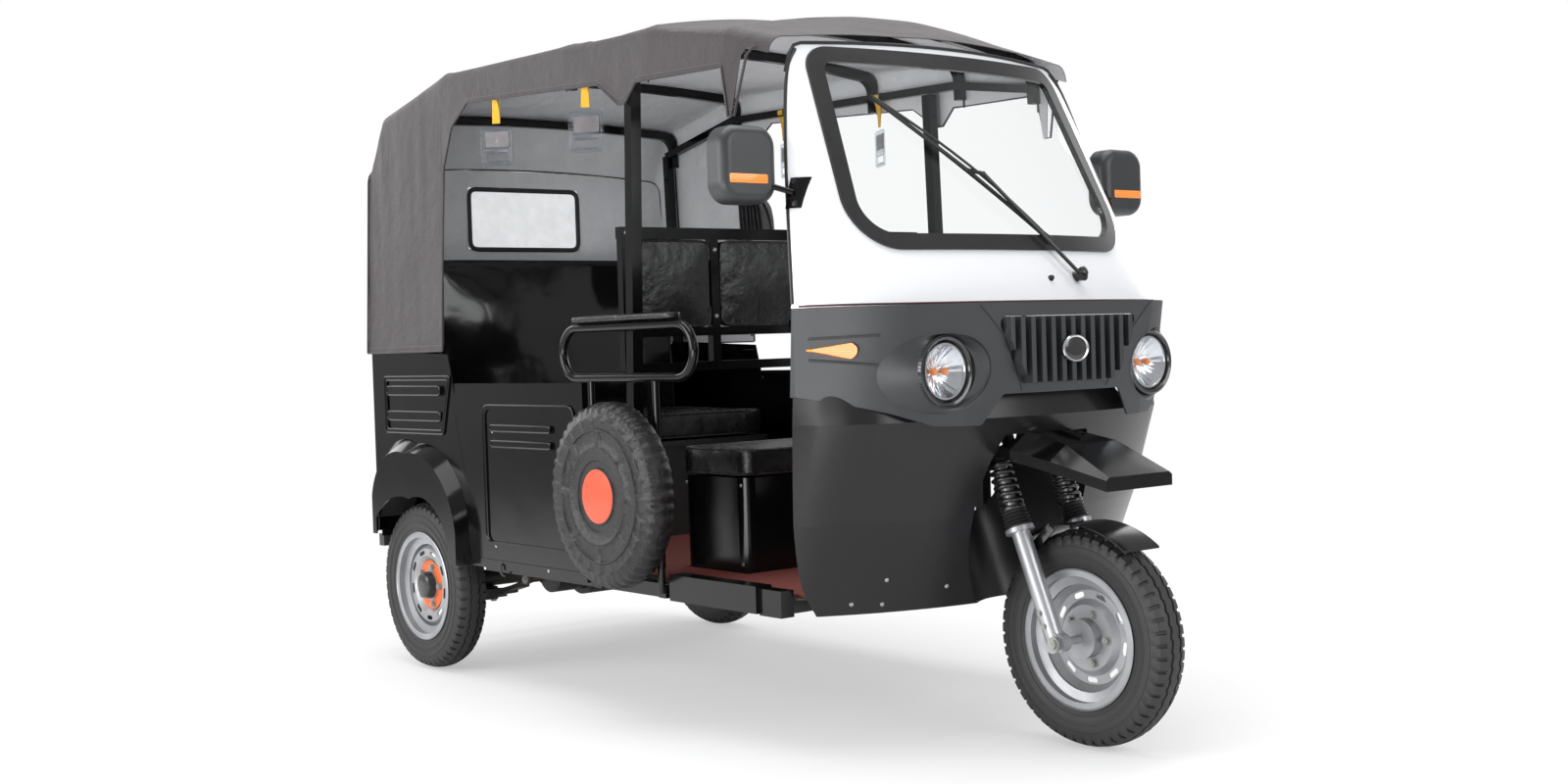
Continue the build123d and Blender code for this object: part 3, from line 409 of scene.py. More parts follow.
# Tyres: 4.00-12 cross-ply, three ribs with zigzag edges between two straight grooves and blocks on each
# shoulder.
# Vulcanised black rubber, dulled and a little dusty on the running face; fitted on the rims with levers.
def turned(rows, centre, steps, shape=None, closed=True):
    """Turns rows of (y, radius) round a wheel's axle; shape may change a point by its row and its step."""
    bm = bmesh.new()
    rings = []
    for j in range(steps):
        ring = []
        for i, (y, radius) in enumerate(rows):
            turn = j / steps
            if shape:
                y, radius, turn = shape(i, j)
            angle = turn * math.tau
            ring.append(bm.verts.new(spot(centre[0] + radius * math.sin(angle), centre[1] + y,
                                          centre[2] + radius * math.cos(angle))))
        rings.append(ring)
    for j in range(steps):
        near, far = rings[j], rings[(j + 1) % steps]
        for i in range(len(rows) if closed else len(rows) - 1):
            k = (i + 1) % len(rows)
            bm.faces.new((near[i], near[k], far[k], far[i]))
    return bm


def arc_points(first, middle, last, count):
    """Evenly spaced points on the arc through three places of a plane."""
    (ax, ay), (bx, by), (cx, cy) = first, middle, last
    d = 2 * (ax * (by - cy) + bx * (cy - ay) + cx * (ay - by))
    ux = ((ax * ax + ay * ay) * (by - cy) + (bx * bx + by * by) * (cy - ay) + (cx * cx + cy * cy)
          * (ay - by)) / d
    uy = ((ax * ax + ay * ay) * (cx - bx) + (bx * bx + by * by) * (ax - cx) + (cx * cx + cy * cy)
          * (bx - ax)) / d
    start = math.atan2(ay - uy, ax - ux)
    sweep = math.remainder(math.atan2(cy - uy, cx - ux) - start, math.tau)
    radius = math.hypot(ax - ux, ay - uy)
    return [(ux + radius * math.cos(start + sweep * k / (count - 1)),
             uy + radius * math.sin(start + sweep * k / (count - 1)))
            for k in range(count)]


def crown(y):
    """The radius of the running face at a place across it."""
    return 181.04 + math.sqrt(80.96 ** 2 - y * y)


# One half of the section from the middle outwards: place, radius, what the tread does there.
tread_rows = [(0, 0, "top"), (10, 0, "rib"), (11.6, 5.5, "rib"), (16.4, 5.5, "rib"), (18, 0, "rib"),
              (26, 0, "top"),
              (27, 0, "block"), (34, 0, "block"), (40, 0, "block"), (43.8, 0, "block")]
tread_half = [(y, crown(y) - cut, kind) for y, cut, kind in tread_rows]
wall = arc_points((44, 249), (52, 212), (41.5, 170), 13)
tread_half += [(wall[1][0], wall[1][1], "block"), (wall[2][0], wall[2][1], "block")]
tread_half += [(y, r, "wall") for y, r in wall[3:]]
tread_half += [(41.5, 156.4, "wall"), (28, 156.4, "wall"), (28, 172, "wall"), (43, 212, "wall"),
               (32, 238, "wall")]
section = [(-y, r, kind) for y, r, kind in reversed(tread_half[1:])] + tread_half
pitch_steps = (0.0, 0.05, 0.26, 0.31, 0.66)
pitches = 52


def tread(i, j):
    """Cuts the shoulder blocks apart and runs the rib edges in a zigzag."""
    y, radius, kind = section[i]
    pitch, step = divmod(j, len(pitch_steps))
    share = pitch_steps[step]
    if kind == "block" and step in (1, 2):
        radius -= 6.5 if radius > 246 else 3
    if kind == "rib":
        y += 1.8 * (1 if step in (3, 4) else -1)
    return y, radius, (pitch + share + (0.5 if y < -20 else 0.0)) / pitches


tyre_black, wire, shader = new_finish("tyre_black")
scuff = grain(wire, 30, 4)
worn = grain(wire, 6, 4)
tinted(wire, shader, scuff * 0.6 + worn * 0.4, (0.008, 0.008, 0.009), (0.03, 0.029, 0.029))
wire.feed(shader.inputs["Roughness"], scuff * 0.25 + 0.45)
relief(wire, shader, grain(wire, 260, 2), 0.25, 0.001)
rear_y, axle_z, wheel_base = 562, 262, 2241
wheels = {"front": ("front_wheel", "front_tyre", "front_rim", (wheel_base, 0, axle_z), -1),
          "left": ("rear_wheel_left", "rear_tyre_left", "rear_rim_left", (0, rear_y, axle_z), 1),
          "right": ("rear_wheel_right", "rear_tyre_right", "rear_rim_right", (0, -rear_y, axle_z), -1)}
for place, (body, tyre_node, rim_node, centre, out) in wheels.items():
    rubber = turned([row[:2] for row in section], centre, pitches * len(pitch_steps), tread)
    skin = piece_of("tyre_" + place, rubber, body, "tyre", tyre_black, crease=28)
    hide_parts(tyre_node)

# Sidewall rings: a raised rim-line and a band of fine ribs that protect the wall, moulded with the tyre.
for place, (body, tyre_node, rim_node, centre, out) in wheels.items():
    for side in (-1, 1):
        for count, (y, radius, wide) in enumerate(((47.2, 184, 1.6), (50.9, 200, 1.0), (51.6, 206, 1.0),
                                                   (51.3, 224, 1.3))):
            line = [(side * (y - 1.5), radius - wide), (side * (y + 1.0), radius - wide * 0.4),
                    (side * (y + 1.0), radius + wide * 0.4), (side * (y - 1.5), radius + wide)]
            piece_of(f"wall_ring_{place}_{count}_{'in' if side < 0 else 'out'}", turned(line, centre, 72),
                     body, "tyre",
                     tyre_black)

# Rims: pressed and rolled steel, phosphated and lacquered silver, each bolted to its hub by five wheel
# nuts.
# The rear hubs carry a black plastic dust cap with a coloured ring; the front axle ends in plain nuts.
rim_silver = rough_metal("rim_silver", (0.5, 0.51, 0.53), 0.8, 0.26, 500, 0.06)


def varied_finish(name, patches, first, second, sheen, spread, gloss, **constants):
    """A finish with patches of two colours and an uneven sheen; each is given as a noise's settings."""
    material, wire, shader = new_finish(name, **constants)
    tinted(wire, shader, grain(wire, *patches), first, second)
    wire.feed(shader.inputs["Roughness"], grain(wire, *sheen) * spread + gloss)
    return material, wire, shader


cap_black, wire, shader = varied_finish("cap_black", (25,), (0.012, 0.012, 0.013), (0.02, 0.02, 0.021),
                                        (40,), 0.1, 0.28, Coat_Weight=0.3)
ring_orange, wire, shader = varied_finish("ring_orange", (25,), (0.75, 0.13, 0.02), (0.6, 0.1, 0.015),
                                          (40,), 0.1, 0.35)
for place, (body, tyre_node, rim_node, centre, out) in wheels.items():
    coat(rim_silver, rim_node)
    disc = centre[1] + out * (10.5 if place == "front" else 14)
    nuts = []
    for k in range(5):
        angle = math.tau * (k + 0.25) / 5
        nuts.append(((centre[0] + 62 * math.sin(angle), disc, centre[2] + 62 * math.cos(angle)),
                     (0, out, 0)))
    fasten("wheel_nuts_" + place, body, "silver_metal", zinc, nuts, 9.5, 13)
    if place == "front":
        continue
    cap = [(14, 43), (30, 43), (41, 38), (45, 30), (46, 12), (46, 0.5), (43, 0.5), (43, 26.5), (14, 28)]
    piece_of("dust_cap_" + place, turned([(out * y, r) for y, r in cap], centre, 48), body, "lamp_case",
             cap_black)
    band = [(11, 46), (13.5, 46), (15, 49), (15, 73), (13.5, 77), (11, 77)]
    piece_of("cap_ring_" + place, turned([(out * y, r) for y, r in band], centre, 48), body,
             "amber_plastic", ring_orange)

# Front fork: telescopic legs of lacquered steel tube with a coil spring and a ribbed rubber boot on each.
# Springs are cold-wound from 11 mm black wire with closed ends; the boots are moulded rubber, pushed over
# the leg tops.
rake = math.radians(22.2)
leg_line = (-math.sin(rake), 0, math.cos(rake))


def on_leg(z, y):
    """A place on the middle of a fork leg at a height."""
    return (wheel_base - 17 - (z - axle_z) * math.tan(rake), y, z)


def coil(wire, given, points):
    """A spring: a wire that winds up a spiral, with a closed turn at each end."""
    runs = []
    for turns, low, high in ((given["turns"], 0.0, 1.0), (1.0, 0.0, 0.035), (1.0, 0.965, 1.0)):
        line = wire.make("GeometryNodeCurveSpiral", None,
                         {"Resolution": 28, "Rotations": turns, "Start Radius": given["radius"],
                          "End Radius": given["radius"], "Height": given["length"] * (high - low)})
        lift = wire.make("ShaderNodeCombineXYZ", None, {"Z": given["length"] * low})
        ring = wire.make("GeometryNodeCurvePrimitiveCircle", None,
                         {"Resolution": 12, "Radius": given["thickness"]})
        rod = wire.make("GeometryNodeCurveToMesh", None,
                        {"Curve": line, "Profile Curve": ring, "Fill Caps": True})
        runs.append(wire.make("GeometryNodeTransform", None, {"Geometry": rod, "Translation": lift}))
    join = wire.tree.nodes.new("GeometryNodeJoinGeometry")
    for run in runs:
        wire.tree.links.new(run.socket, join.inputs[0])
    return on_seats(wire, Wire(wire.tree, join.outputs[0]), points)


fork_silver = paint("fork_silver", (0.40, 0.41, 0.43), 0.28, dust=0.05, Metallic=0.65)
coat(fork_silver, "fork_legs")
spring_black = paint("spring_black", (0.012, 0.012, 0.013), 0.22, dust=0.1, Coat_Weight=0.5)
spring_seats = [(on_leg(572, side * 104), leg_line) for side in (-1, 1)]
springs = piece_of("coil_springs", grown("coil", spring_black, coil, seats_mesh(spring_seats),
                                         turns=6.5, radius=0.0262, length=0.118, thickness=0.0056),
                   "steering", "spring_steel")
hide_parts("fork_springs")
boot_rubber, wire, shader = varied_finish("boot_rubber", (20,), (0.012, 0.012, 0.012), (0.026, 0.025, 0.024),
                                          (40,), 0.15, 0.4)


def upright(profile, base, direction, steps=40, closed=False):
    """Turns a profile of (radius, along) round a line that starts at a place."""
    bm = bmesh.new()
    axis = Vector(direction).normalized()
    first = axis.cross(Vector((0, 1, 0.001))).normalized()
    second = axis.cross(first)
    rings = []
    for j in range(steps):
        angle = math.tau * j / steps
        outward = first * math.cos(angle) + second * math.sin(angle)
        rings.append([bm.verts.new(spot(*(Vector(base) + outward * r + axis * a))) for r, a in profile])
    for j in range(steps):
        near, far = rings[j], rings[(j + 1) % steps]
        for i in range(len(profile) if closed else len(profile) - 1):
            k = (i + 1) % len(profile)
            bm.faces.new((near[i], near[k], far[k], far[i]))
    return bm


boot = [(24, -2), (34, -1), (34, 4)]
for ring in range(4):
    boot += [(27, 8 + ring * 9), (34 - ring * 0.8, 12.5 + ring * 9)]
boot += [(27, 44), (30, 46), (30, 49), (16, 50), (16, -2)]
both_sides = (-1, "right"), (1, "left")
for side, name in both_sides:
    piece_of("fork_boot_" + name, upright(boot, on_leg(529, side * 104), leg_line, closed=True), "steering",
             "black_rubber", boot_rubber, crease=60)
fork_nuts = [((wheel_base, side * 131, axle_z), (0, side, 0)) for side in (-1, 1)]
fasten("axle_nuts", "steering", "silver_metal", zinc, fork_nuts, 13, 11)
fork_screws = [(on_leg(z, side * 104)[:1] + (side * 127.5, z), (0, side, 0)) for side in (-1, 1)
               for z in (300, 330)]
fasten("slider_screws", "steering", "silver_metal", zinc, fork_screws, 6, 5)

# Floor, sills and steps: black sheet steel pressed and spot-welded, with a red rubber mat laid on the
# floor.
# The mat is moulded in fine cross ribs, painted darker between them as shade in the grooves; grit dulls and
# mottles it.
body_black = paint("body_black", (0.003, 0.003, 0.0035), 0.09, wave=1.0, dust=0.06, Specular_IOR_Level=0.3)
mat_red, wire, shader = new_finish("mat_red")
grit = grain(wire, 60, 4)
place = wire.make("ShaderNodeTexCoord", None, None, "Object")
ribs = wire.make("ShaderNodeTexWave", {"wave_type": "BANDS", "bands_direction": "X"},
                 {"Vector": place, "Scale": 38.0, "Distortion": 0.0}, "Fac")
# The rib share of the colour is painted shade in the grooves; the grit share is the mat's own mottling.
tinted(wire, shader, grit * 0.6 + ribs * 0.4, (0.12, 0.022, 0.018), (0.3, 0.07, 0.05))
wire.feed(shader.inputs["Roughness"], grit * 0.2 + 0.6)
relief(wire, shader, ribs, 0.6, 0.002)
coat(mat_red, "floor_mat")
coat(body_black, "side_steps")
step_screws = [((x, side * 585, 381), (0, 0, 1)) for side in (-1, 1) for x in (1695, 1745)]
fasten("step_screws", "root", "silver_metal", zinc, step_screws, 7, 5, round_screw)

# Rear body: side panels, quarter panels, tail panel and fenders of pressed steel, spot-welded, painted
# glossy black.
# Stove enamel over the pressings: it shows the slow waves of the sheet in its shine.
coat(body_black, "side_panels", "quarter_panels", "tail_panel", "rear_fenders")


def swept(points, radius, sides=10, closed=False, flat=1.0, up=(0, 0, 1)):
    """A round or flattened rod along a line of places, with domed-off ends; flat squeezes it along up."""
    bm = bmesh.new()
    line = [spot(*p) for p in points]
    rings = []
    count = len(line)
    for i, here in enumerate(line):
        before = line[(i - 1) % count] if closed or i else here
        after = line[(i + 1) % count] if closed or i < count - 1 else here
        along = (after - before).normalized()
        across = along.cross(Vector(up)).normalized()
        over = across.cross(along)
        rings.append([bm.verts.new(here + (across * math.cos(math.tau * k / sides)
                                           + over * math.sin(math.tau * k / sides) * flat) * radius / 1000)
                      for k in range(sides)])
    for i in range(count if closed else count - 1):
        near, far = rings[i], rings[(i + 1) % count]
        for k in range(sides):
            bm.faces.new((near[k], near[(k + 1) % sides], far[(k + 1) % sides], far[k]))
    if not closed:
        bm.faces.new(list(reversed(rings[0])))
        bm.faces.new(rings[-1])
    return bm


def rounded_line(points, radius, closed=False, steps=5):
    """The same line of places with each inner corner rounded off."""
    out = []
    count = len(points)
    for i, here in enumerate(points):
        here = Vector(here)
        if not closed and i in (0, count - 1):
            out.append(tuple(here))
            continue
        before, after = Vector(points[i - 1]), Vector(points[(i + 1) % count])
        back, ahead = before - here, after - here
        cut = min(radius, back.length * 0.45, ahead.length * 0.45)
        first, last = here + back.normalized() * cut, here + ahead.normalized() * cut
        for k in range(steps + 1):
            t = k / steps
            out.append(tuple(first * (1 - t) ** 2 + here * 2 * t * (1 - t) + last * t ** 2))
    return out


side_screws = [((x, side * 604, z), (0, side, 0)) for side in (-1, 1)
               for x, z in ((470, 420), (470, 760), (1030, 420), (760, 368))]
fasten("panel_screws", "root", "silver_metal", zinc, side_screws, 6, 3.5, round_screw)
hook_black = paint("hook_black", (0.012, 0.012, 0.013), 0.3)
for side, name in both_sides:
    hook = rounded_line([(505, side * 603, 372), (505, side * 613, 366), (508, side * 613, 340),
                         (516, side * 606, 334)], 6)
    piece_of("rope_hook_" + name, swept(hook, 3.2), "root", "black_paint", hook_black)

# Pressed edges of the louvres and frames: the press rounds each edge, and the enamel catches the light
# along it.
# They are part of the same sheet as the panels.
for side, name in both_sides:
    edges = []
    for outline, y, corner in (
        (((-205, 745), (175, 745), (228, 925), (-205, 925)), 607, 10),
        (((-193, 757), (166, 757), (213, 913), (-193, 913)), 606.5, 8),
        (((-180, 866), (170, 866), (170, 894), (-180, 894)), 611.5, 13),
        (((-180, 786), (170, 786), (170, 814), (-180, 814)), 611.5, 13),
        (((420, 432), (920, 432), (920, 838), (420, 838)), 607, 34),
        (((470, 761), (800, 761), (800, 779), (470, 779)), 610.5, 8.5),
        (((470, 715), (800, 715), (800, 733), (470, 733)), 610.5, 8.5),
    ):
        edges.append(rounded_line([(x, side * y, z) for x, z in outline], corner, closed=True))
    whole = bmesh.new()
    for line in edges:
        one = swept(line, 2.4, 8, closed=True, up=(0, 1, 0))
        spare_mesh = bpy.data.meshes.new("edge")
        one.to_mesh(spare_mesh)
        one.free()
        whole.from_mesh(spare_mesh)
        bpy.data.meshes.remove(spare_mesh)
    piece_of("pressed_edges_" + name, whole, "root", "black_paint", body_black)

# Driver's box and partition: folded black sheet and welded square tube under the leather pads.
# Enamelled with the body; the partition pads are screwed through from behind.
coat(body_black, "driver_seat_box", "partition_frame", "side_posts", "roof_frame", "mirror_arms",
     "handlebar", "front_mudguard")
box_screws = [((x, side * 380.5, z), (0, side, 0)) for side in (-1, 1) for x,
              z in ((1130, 620), (1374, 620), (1374, 410))]
fasten("seat_box_screws", "root", "silver_metal", zinc, box_screws, 5, 3, round_screw)
beam_bolts = [((1098, y, z), (1, 0, 0)) for y in (-234, 234) for z in (1262, 1076)]
beam_bolts += [((1098, side * 533, z), (1, 0, 0)) for side in (-1, 1) for z in (1306, 1034)]
fasten("partition_bolts", "root", "silver_metal", zinc, beam_bolts, 6.5, 5, round_screw)

# Front shell: one deep-drawn steel pressing round the driver's feet, satin black, with the wheel housing in
# it.
# It is bolted to the floor and the front uprights; small cross-head screws run along its foot.
shell_black = paint("shell_black", (0.0095, 0.0095, 0.0105), 0.2, wave=0.8, dust=0.06,
                    Specular_IOR_Level=0.34)
coat(shell_black, "front_shell")
coat(body_black, "nose_guard")
shell_screws = [((1888, -453, 361), (0.83, -0.42, -0.36)), ((1918, -381, 356), (0.87, -0.35, -0.36)),
                ((1942, -385, 417), (0.87, -0.34, -0.36)), ((1980, -223, 388), (0.91, -0.21, -0.35))]
shell_screws += [((x, -y, z), (a, -b, c)) for (x, y, z), (a, b, c) in shell_screws]
fasten("shell_screws", "root", "silver_metal", zinc, shell_screws, 6, 4, round_screw)

# Mask, grille and lamps: the mask is injection-moulded dark grey plastic with a fine leathery grain,
# clipped on.
# The grille is a separate moulding behind its opening; its round badge is left plain.
def surface_of(*names):
    """The surface of some CAD nodes, for finding where trim lies on it."""
    verts, faces = [], []
    for name in names:
        mesh = nodes[name].data
        start = len(verts)
        verts += [v.co.copy() for v in mesh.vertices]
        faces += [tuple(start + i for i in p.vertices) for p in mesh.polygons]
    return BVHTree.FromPolygons(verts, faces)


def meets(surface, place, direction, lift=0.0):
    """Where a ray from a place meets a surface, in mm, raised along the surface's own normal."""
    hit, normal = surface.ray_cast(spot(*place), Vector(direction).normalized())[:2]
    if hit is None:
        return None
    if normal.dot(Vector(direction)) > 0:
        normal = -normal
    hit += normal * (lift / 1000)
    return ((hit.x - rear_axle_x) * 1000, hit.y * 1000, hit.z * 1000)


mask_plastic, wire, shader = new_finish("mask_plastic")
mottle = grain(wire, 14, 3)
tinted(wire, shader, mottle, (0.021, 0.0225, 0.025), (0.028, 0.03, 0.033))
wire.feed(shader.inputs["Roughness"], mottle * 0.1 + 0.36)
relief(wire, shader, grain(wire, 900, 1), 0.35, 0.0006)
coat(mask_plastic, "front_mask", "grille", "mirror_housings", "dashboard")
mask_skin = surface_of("front_mask")
# The near-black line laid along the crease of the mask is painted shade in the crease.
crease_shade_black, wire, shader = varied_finish("crease_shade_black", (30,), (0.004, 0.004, 0.004), (0.01, 0.01, 0.01),
                                        (30,), 0.1, 0.5)
for side, name in both_sides:
    crease = []
    for k in range(15):
        t = k / 14
        place = meets(mask_skin, (2600, side * (303 - 151 * t - 26 * math.sin(math.pi * t)),
                                  1068 - 203 * t), (-1, 0, 0), 0.2)
        if place:
            crease.append(place)
    piece_of("mask_seam_" + name, swept(crease, 1.6), "root", "grey_plastic", crease_shade_black)
    # Raised frame round the indicator
    for k, (z_front, z_rear) in enumerate(((1006, 1002), (936, 952))):
        ridge = [meets(mask_skin, (2600, side * (y), z_rear + (z_front - z_rear) * (596 - y) / 100),
                       (-1, 0, 0), 0.6)
                 for y in range(500, 597, 6)]
        piece_of(f"indicator_ridge_{name}_{k}", swept([p for p in ridge if p], 3.2), "root", "grey_plastic",
                 mask_plastic)
badge = [(0.5, 3), (14, 3), (24, 2.2), (27, 1), (28, 3.5), (31.5, 4), (33, 2), (33, -4), (0.5, -4)]
hoop = [(27.5, 3.2), (29.5, 4.6), (32, 4.6), (33.4, 2.6), (31, 2.2)]
badge_black = paint("badge_black", (0.012, 0.012, 0.013), 0.15, dust=0.0, Coat_Weight=0.6)
ring_chrome, wire, shader = varied_finish("ring_chrome", (12,), (0.78, 0.78, 0.79), (0.66, 0.67, 0.69),
                                          (40,), 0.06, 0.1, Metallic=1.0)
grille_skin = surface_of("grille")
oval = 1.4
badge_spot = (max(meets(grille_skin, (2600, y, 960), (-1, 0, 0))[0] for y in range(-30, 31, 3)) + 3.5, 0,
              960)
for name, profile, finish in (("grille_badge", badge, badge_black), ("badge_ring", hoop, ring_chrome)):
    round_form = upright(profile, badge_spot, (1, 0, 0), 56, True)
    for vert in round_form.verts:
        vert.co.y *= oval
    piece_of(name, round_form, "root", "silver_metal", finish)

# Headlamps: a black bezel, a vacuum-metallised reflector bowl, two amber-dipped bulbs and a clear pressed
# lens.
# The bowl is moulded with flutes and snaps into the case; the bulbs twist in from behind.
coat(mask_plastic, "headlamps")


def clear(name, tint, gloss, mirror=0.6, wave=0.0):
    """Clear sheet or glass: it lets light through and mirrors the room more at a slant."""
    material, wire, shader = new_finish(name, Metallic=1.0, Roughness=gloss)
    shader.inputs["Base Color"].default_value = (0.95, 0.96, 0.97, 1)
    through = wire.make("ShaderNodeBsdfTransparent", None, {"Color": (*tint, 1)})
    slant = wire.make("ShaderNodeLayerWeight", None, {"Blend": 0.5}, "Facing")
    if wave:
        relief(wire, shader, grain(wire, 9, 3), wave, 0.01)
    mixed = wire.make("ShaderNodeMixShader", None, {0: slant ** 4 * mirror + 0.025, 1: through,
                                                       2: Wire(wire.tree, shader.outputs[0])})
    wire.feed(wire.tree.nodes["Material Output"].inputs["Surface"], mixed)
    return material


lens_glass = clear("lens_glass", (0.96, 0.97, 0.98), 0.01)
coat(lens_glass, "headlamp_lenses")
bulb_amber, wire, shader = varied_finish("bulb_amber", (60,), (0.95, 0.3, 0.03), (0.8, 0.18, 0.02),
                                         (60,), 0.1, 0.15, Coat_Weight=0.6)
lamp_y, lamp_z, lamp_front = 364, 917, 2142
for side, name in both_sides:
    centre = (lamp_front - 38, side * lamp_y, lamp_z)
    bowl = [(0.6, 0)] + [(r, 36 * (r / 64) ** 2) for r in range(6, 66, 4)] + [(66, 37), (66, 39), (62, 39)]
    shine = upright(bowl, centre, (1, 0, 0), 72)
    for v in shine.verts:
        place = v.co - spot(*centre)
        ray = math.hypot(place.y, place.z)
        v.co.x += 0.0011 * math.sin(18 * math.atan2(place.z, place.y)) * min(1, ray / 0.02) * (ray < 0.061)
    piece_of("reflector_" + name, shine, "root", "silver_metal", ring_chrome, crease=70)
    for k, (dy, dz) in enumerate(((-18, 0), (18, 0))):
        glass = [(0.4, 22), (5, 21), (8.5, 17.5), (9.5, 13), (8, 8), (5, 5), (5, 0), (0.4, 0)]
        piece_of(f"bulb_{name}_{k}", upright(glass, (centre[0] + 4, centre[1] + dy, centre[2] + dz),
                                             (1, 0, 0), 24),
                 "root", "amber_plastic", bulb_amber)
    # The fairing sweeps from the edge of the oval recess to the bezel
    cone = bmesh.new()
    rows = []
    for k in range(72):
        turn = math.tau * k / 72
        edge = None
        for grow in (1.015, 1.03, 1.06, 1.1):
            edge = edge or meets(mask_skin,
                                 (2600, side * (373 + 126 * grow * math.cos(turn)),
                                  914 + 95 * grow * math.sin(turn)),
                                 (-1, 0, 0), 0.4)
        edge = Vector(edge) if edge else rows[-1][0]
        ring = Vector((centre[0] + 33, side * (lamp_y + 83.6 * math.cos(turn)),
                       lamp_z + 83.6 * math.sin(turn)))
        knee = edge.lerp(ring, 0.5) + Vector((7, 0, 0))
        line = []
        for j in range(9):
            t = j / 8
            line.append(edge * (1 - t) ** 2 + knee * 2 * t * (1 - t) + ring * t ** 2)
        rows.append(line + [ring + Vector((-12, 0, 0)), edge + Vector((-9, 0, 0)) + (ring - edge) * 0.08])
    rings = [[cone.verts.new(spot(*p)) for p in line] for line in rows]
    for k in range(72):
        near, far = rings[k], rings[(k + 1) % 72]
        for j in range(len(near)):
            cone.faces.new((near[j], near[(j + 1) % len(near)], far[(j + 1) % len(near)], far[j]))
    piece_of("lamp_fairing_" + name, cone, "root", "grey_plastic", mask_plastic)
    rim_line = [(70, 38), (74, 44), (80, 46), (84, 43), (84, 34), (80, 30), (70, 30)]
    piece_of("lamp_bezel_" + name, upright(rim_line, centre, (1, 0, 0), 72, True), "root", "lamp_case",
             badge_black)

# Front indicators: amber acrylic blades moulded with fine cross prisms, screwed to the mask from behind.
# Solid-coloured plastic, polished outside.
amber, wire, shader = new_finish("amber", Coat_Weight=0.7)
place = wire.make("ShaderNodeTexCoord", None, None, "Object")
prisms = wire.make("ShaderNodeTexWave", {"wave_type": "BANDS", "bands_direction": "Z"},
                   {"Vector": place, "Scale": 60.0, "Distortion": 0.0}, "Fac")
# Lighter on the prism crests and darker between them: painted highlight and painted shade on the prisms.
tinted(wire, shader, prisms * 0.7 + grain(wire, 40) * 0.3, (0.95, 0.2, 0.02), (1.0, 0.38, 0.05))
wire.feed(shader.inputs["Roughness"], prisms * 0.12 + 0.15)
relief(wire, shader, prisms, 0.5, 0.002)
coat(amber, "indicator_lamps")

# Windscreen panel: one white pressing round the glass, with a black rubber glazing strip and black edge
# trim.
# Enamelled sheet steel; the trim is extruded rubber pushed over its edges, and a dark red strip seals its
# foot.
cab_white = paint("cab_white", (0.8, 0.815, 0.84), 0.12, wave=0.1, dust=0.0, Coat_Weight=0.8)
coat(cab_white, "windscreen_panel")
rubber_black, wire, shader = varied_finish("rubber_black", (20,), (0.008, 0.008, 0.009),
                                           (0.014, 0.014, 0.015), (40,), 0.12, 0.26)
coat(rubber_black, "windscreen_rubber")
seal_red, wire, shader = varied_finish("seal_red", (40,), (0.09, 0.012, 0.01), (0.03, 0.006, 0.006),
                                       (40,), 0.2, 0.45)
panel_skin = surface_of("windscreen_panel")
foot_line = []
for k in range(61):
    angle = math.radians(-62 + 124 * k / 60)
    place = meets(panel_skin, (1500 + 1200 * math.cos(angle), 1200 * math.sin(angle) * 1.0, 1078),
                  (-math.cos(angle), -math.sin(angle), 0), 0.6)
    if place:
        foot_line.append(place)
piece_of("foot_seal", swept(foot_line, 2.6), "root", "black_rubber", seal_red)
top_line = []
for k in range(49):
    y = -497 + 994 * k / 48
    low, high = 1640.0, 1780.0
    for step in range(11):
        middle = (low + high) / 2
        if meets(panel_skin, (2600, y, middle), (-1, 0, 0)):
            low = middle
        else:
            high = middle
    top_line.append(meets(panel_skin, (2600, y, low - 2), (-1, 0, 0), 1.2))
piece_of("top_trim", swept([p for p in top_line if p], 4.5), "root", "black_rubber", rubber_black)
for side, name in both_sides:
    edge = []
    for k in range(32):
        z = 1084 + (1712 - 1084) * k / 31
        x = 1888 + (1733 - 1888) * (z - 1088) / 650 + 3
        place = meets(panel_skin, (x, side * 900, z), (0, -side, 0), 0.8)
        if place:
            edge.append(place)
    piece_of("door_trim_" + name, swept(edge, 4.2), "root", "black_rubber", rubber_black)

# Windscreen, wiper and washer: laminated glass set in the rubber, one wiper arm from the left foot of the
# glass.
# The arm and the bridge are black steel with a spring and a rubber blade; the washer is a small plastic
# nozzle.
screen_glass = clear("screen_glass", (0.98, 0.99, 0.99), 0.008, 0.5)
coat(screen_glass, "windscreen_glass")
wiper_black = paint("wiper_black", (0.01, 0.01, 0.011), 0.3, dust=0.0)
coat(wiper_black, "wiper")
glass_skin = surface_of("windscreen_glass", "windscreen_panel", "windscreen_rubber")


def on_glass(y, z, lift):
    """A place on the windscreen, raised off it."""
    return meets(glass_skin, (2900, y, z), (-1, 0, 0), lift)


beside = on_glass(200, 1140, 28)
pivot = (beside[0] + 2, 182, beside[2])
piece_of("wiper_cap", upright([(0.5, 9), (8, 8), (12, 5), (13.5, 0), (13.5, -8), (0.5, -8)], pivot,
                              (0.9, 0.06, 0.43), 32),
         "root", "black_paint", rubber_black)
nozzle = on_glass(75, 1135, 2)
piece_of("washer_nozzle", upright([(0.5, 8), (5, 7), (7, 3), (8, 0), (8, -3), (0.5, -3)], nozzle,
                                  (0.9, 0.04, 0.43), 24),
         "root", "black_paint", rubber_black)
blade = [on_glass(-300 + 420 * k / 20, 1590 - 360 * k / 20, 5) for k in range(21)]
piece_of("wiper_rubber", swept(blade, 3.0), "root", "black_rubber", rubber_black)
spine = [on_glass(-300 + 420 * k / 20, 1590 - 360 * k / 20, 12 + 14 * math.sin(math.pi * k / 20))
         for k in range(21)]
piece_of("wiper_bridge", swept(spine, 3.4), "root", "black_paint", wiper_black)

# Mirrors: moulded cases on bracket arms bolted to the cab pillars, with flat silvered glass behind a thin
# rim.
# The bracket is folded steel held by two bolts; an amber repeater strip is set low in each case.
silvered, wire, shader = varied_finish("silvered", (3,), (0.8, 0.82, 0.84), (0.74, 0.76, 0.79),
                                       (20,), 0.03, 0.02, Metallic=1.0)


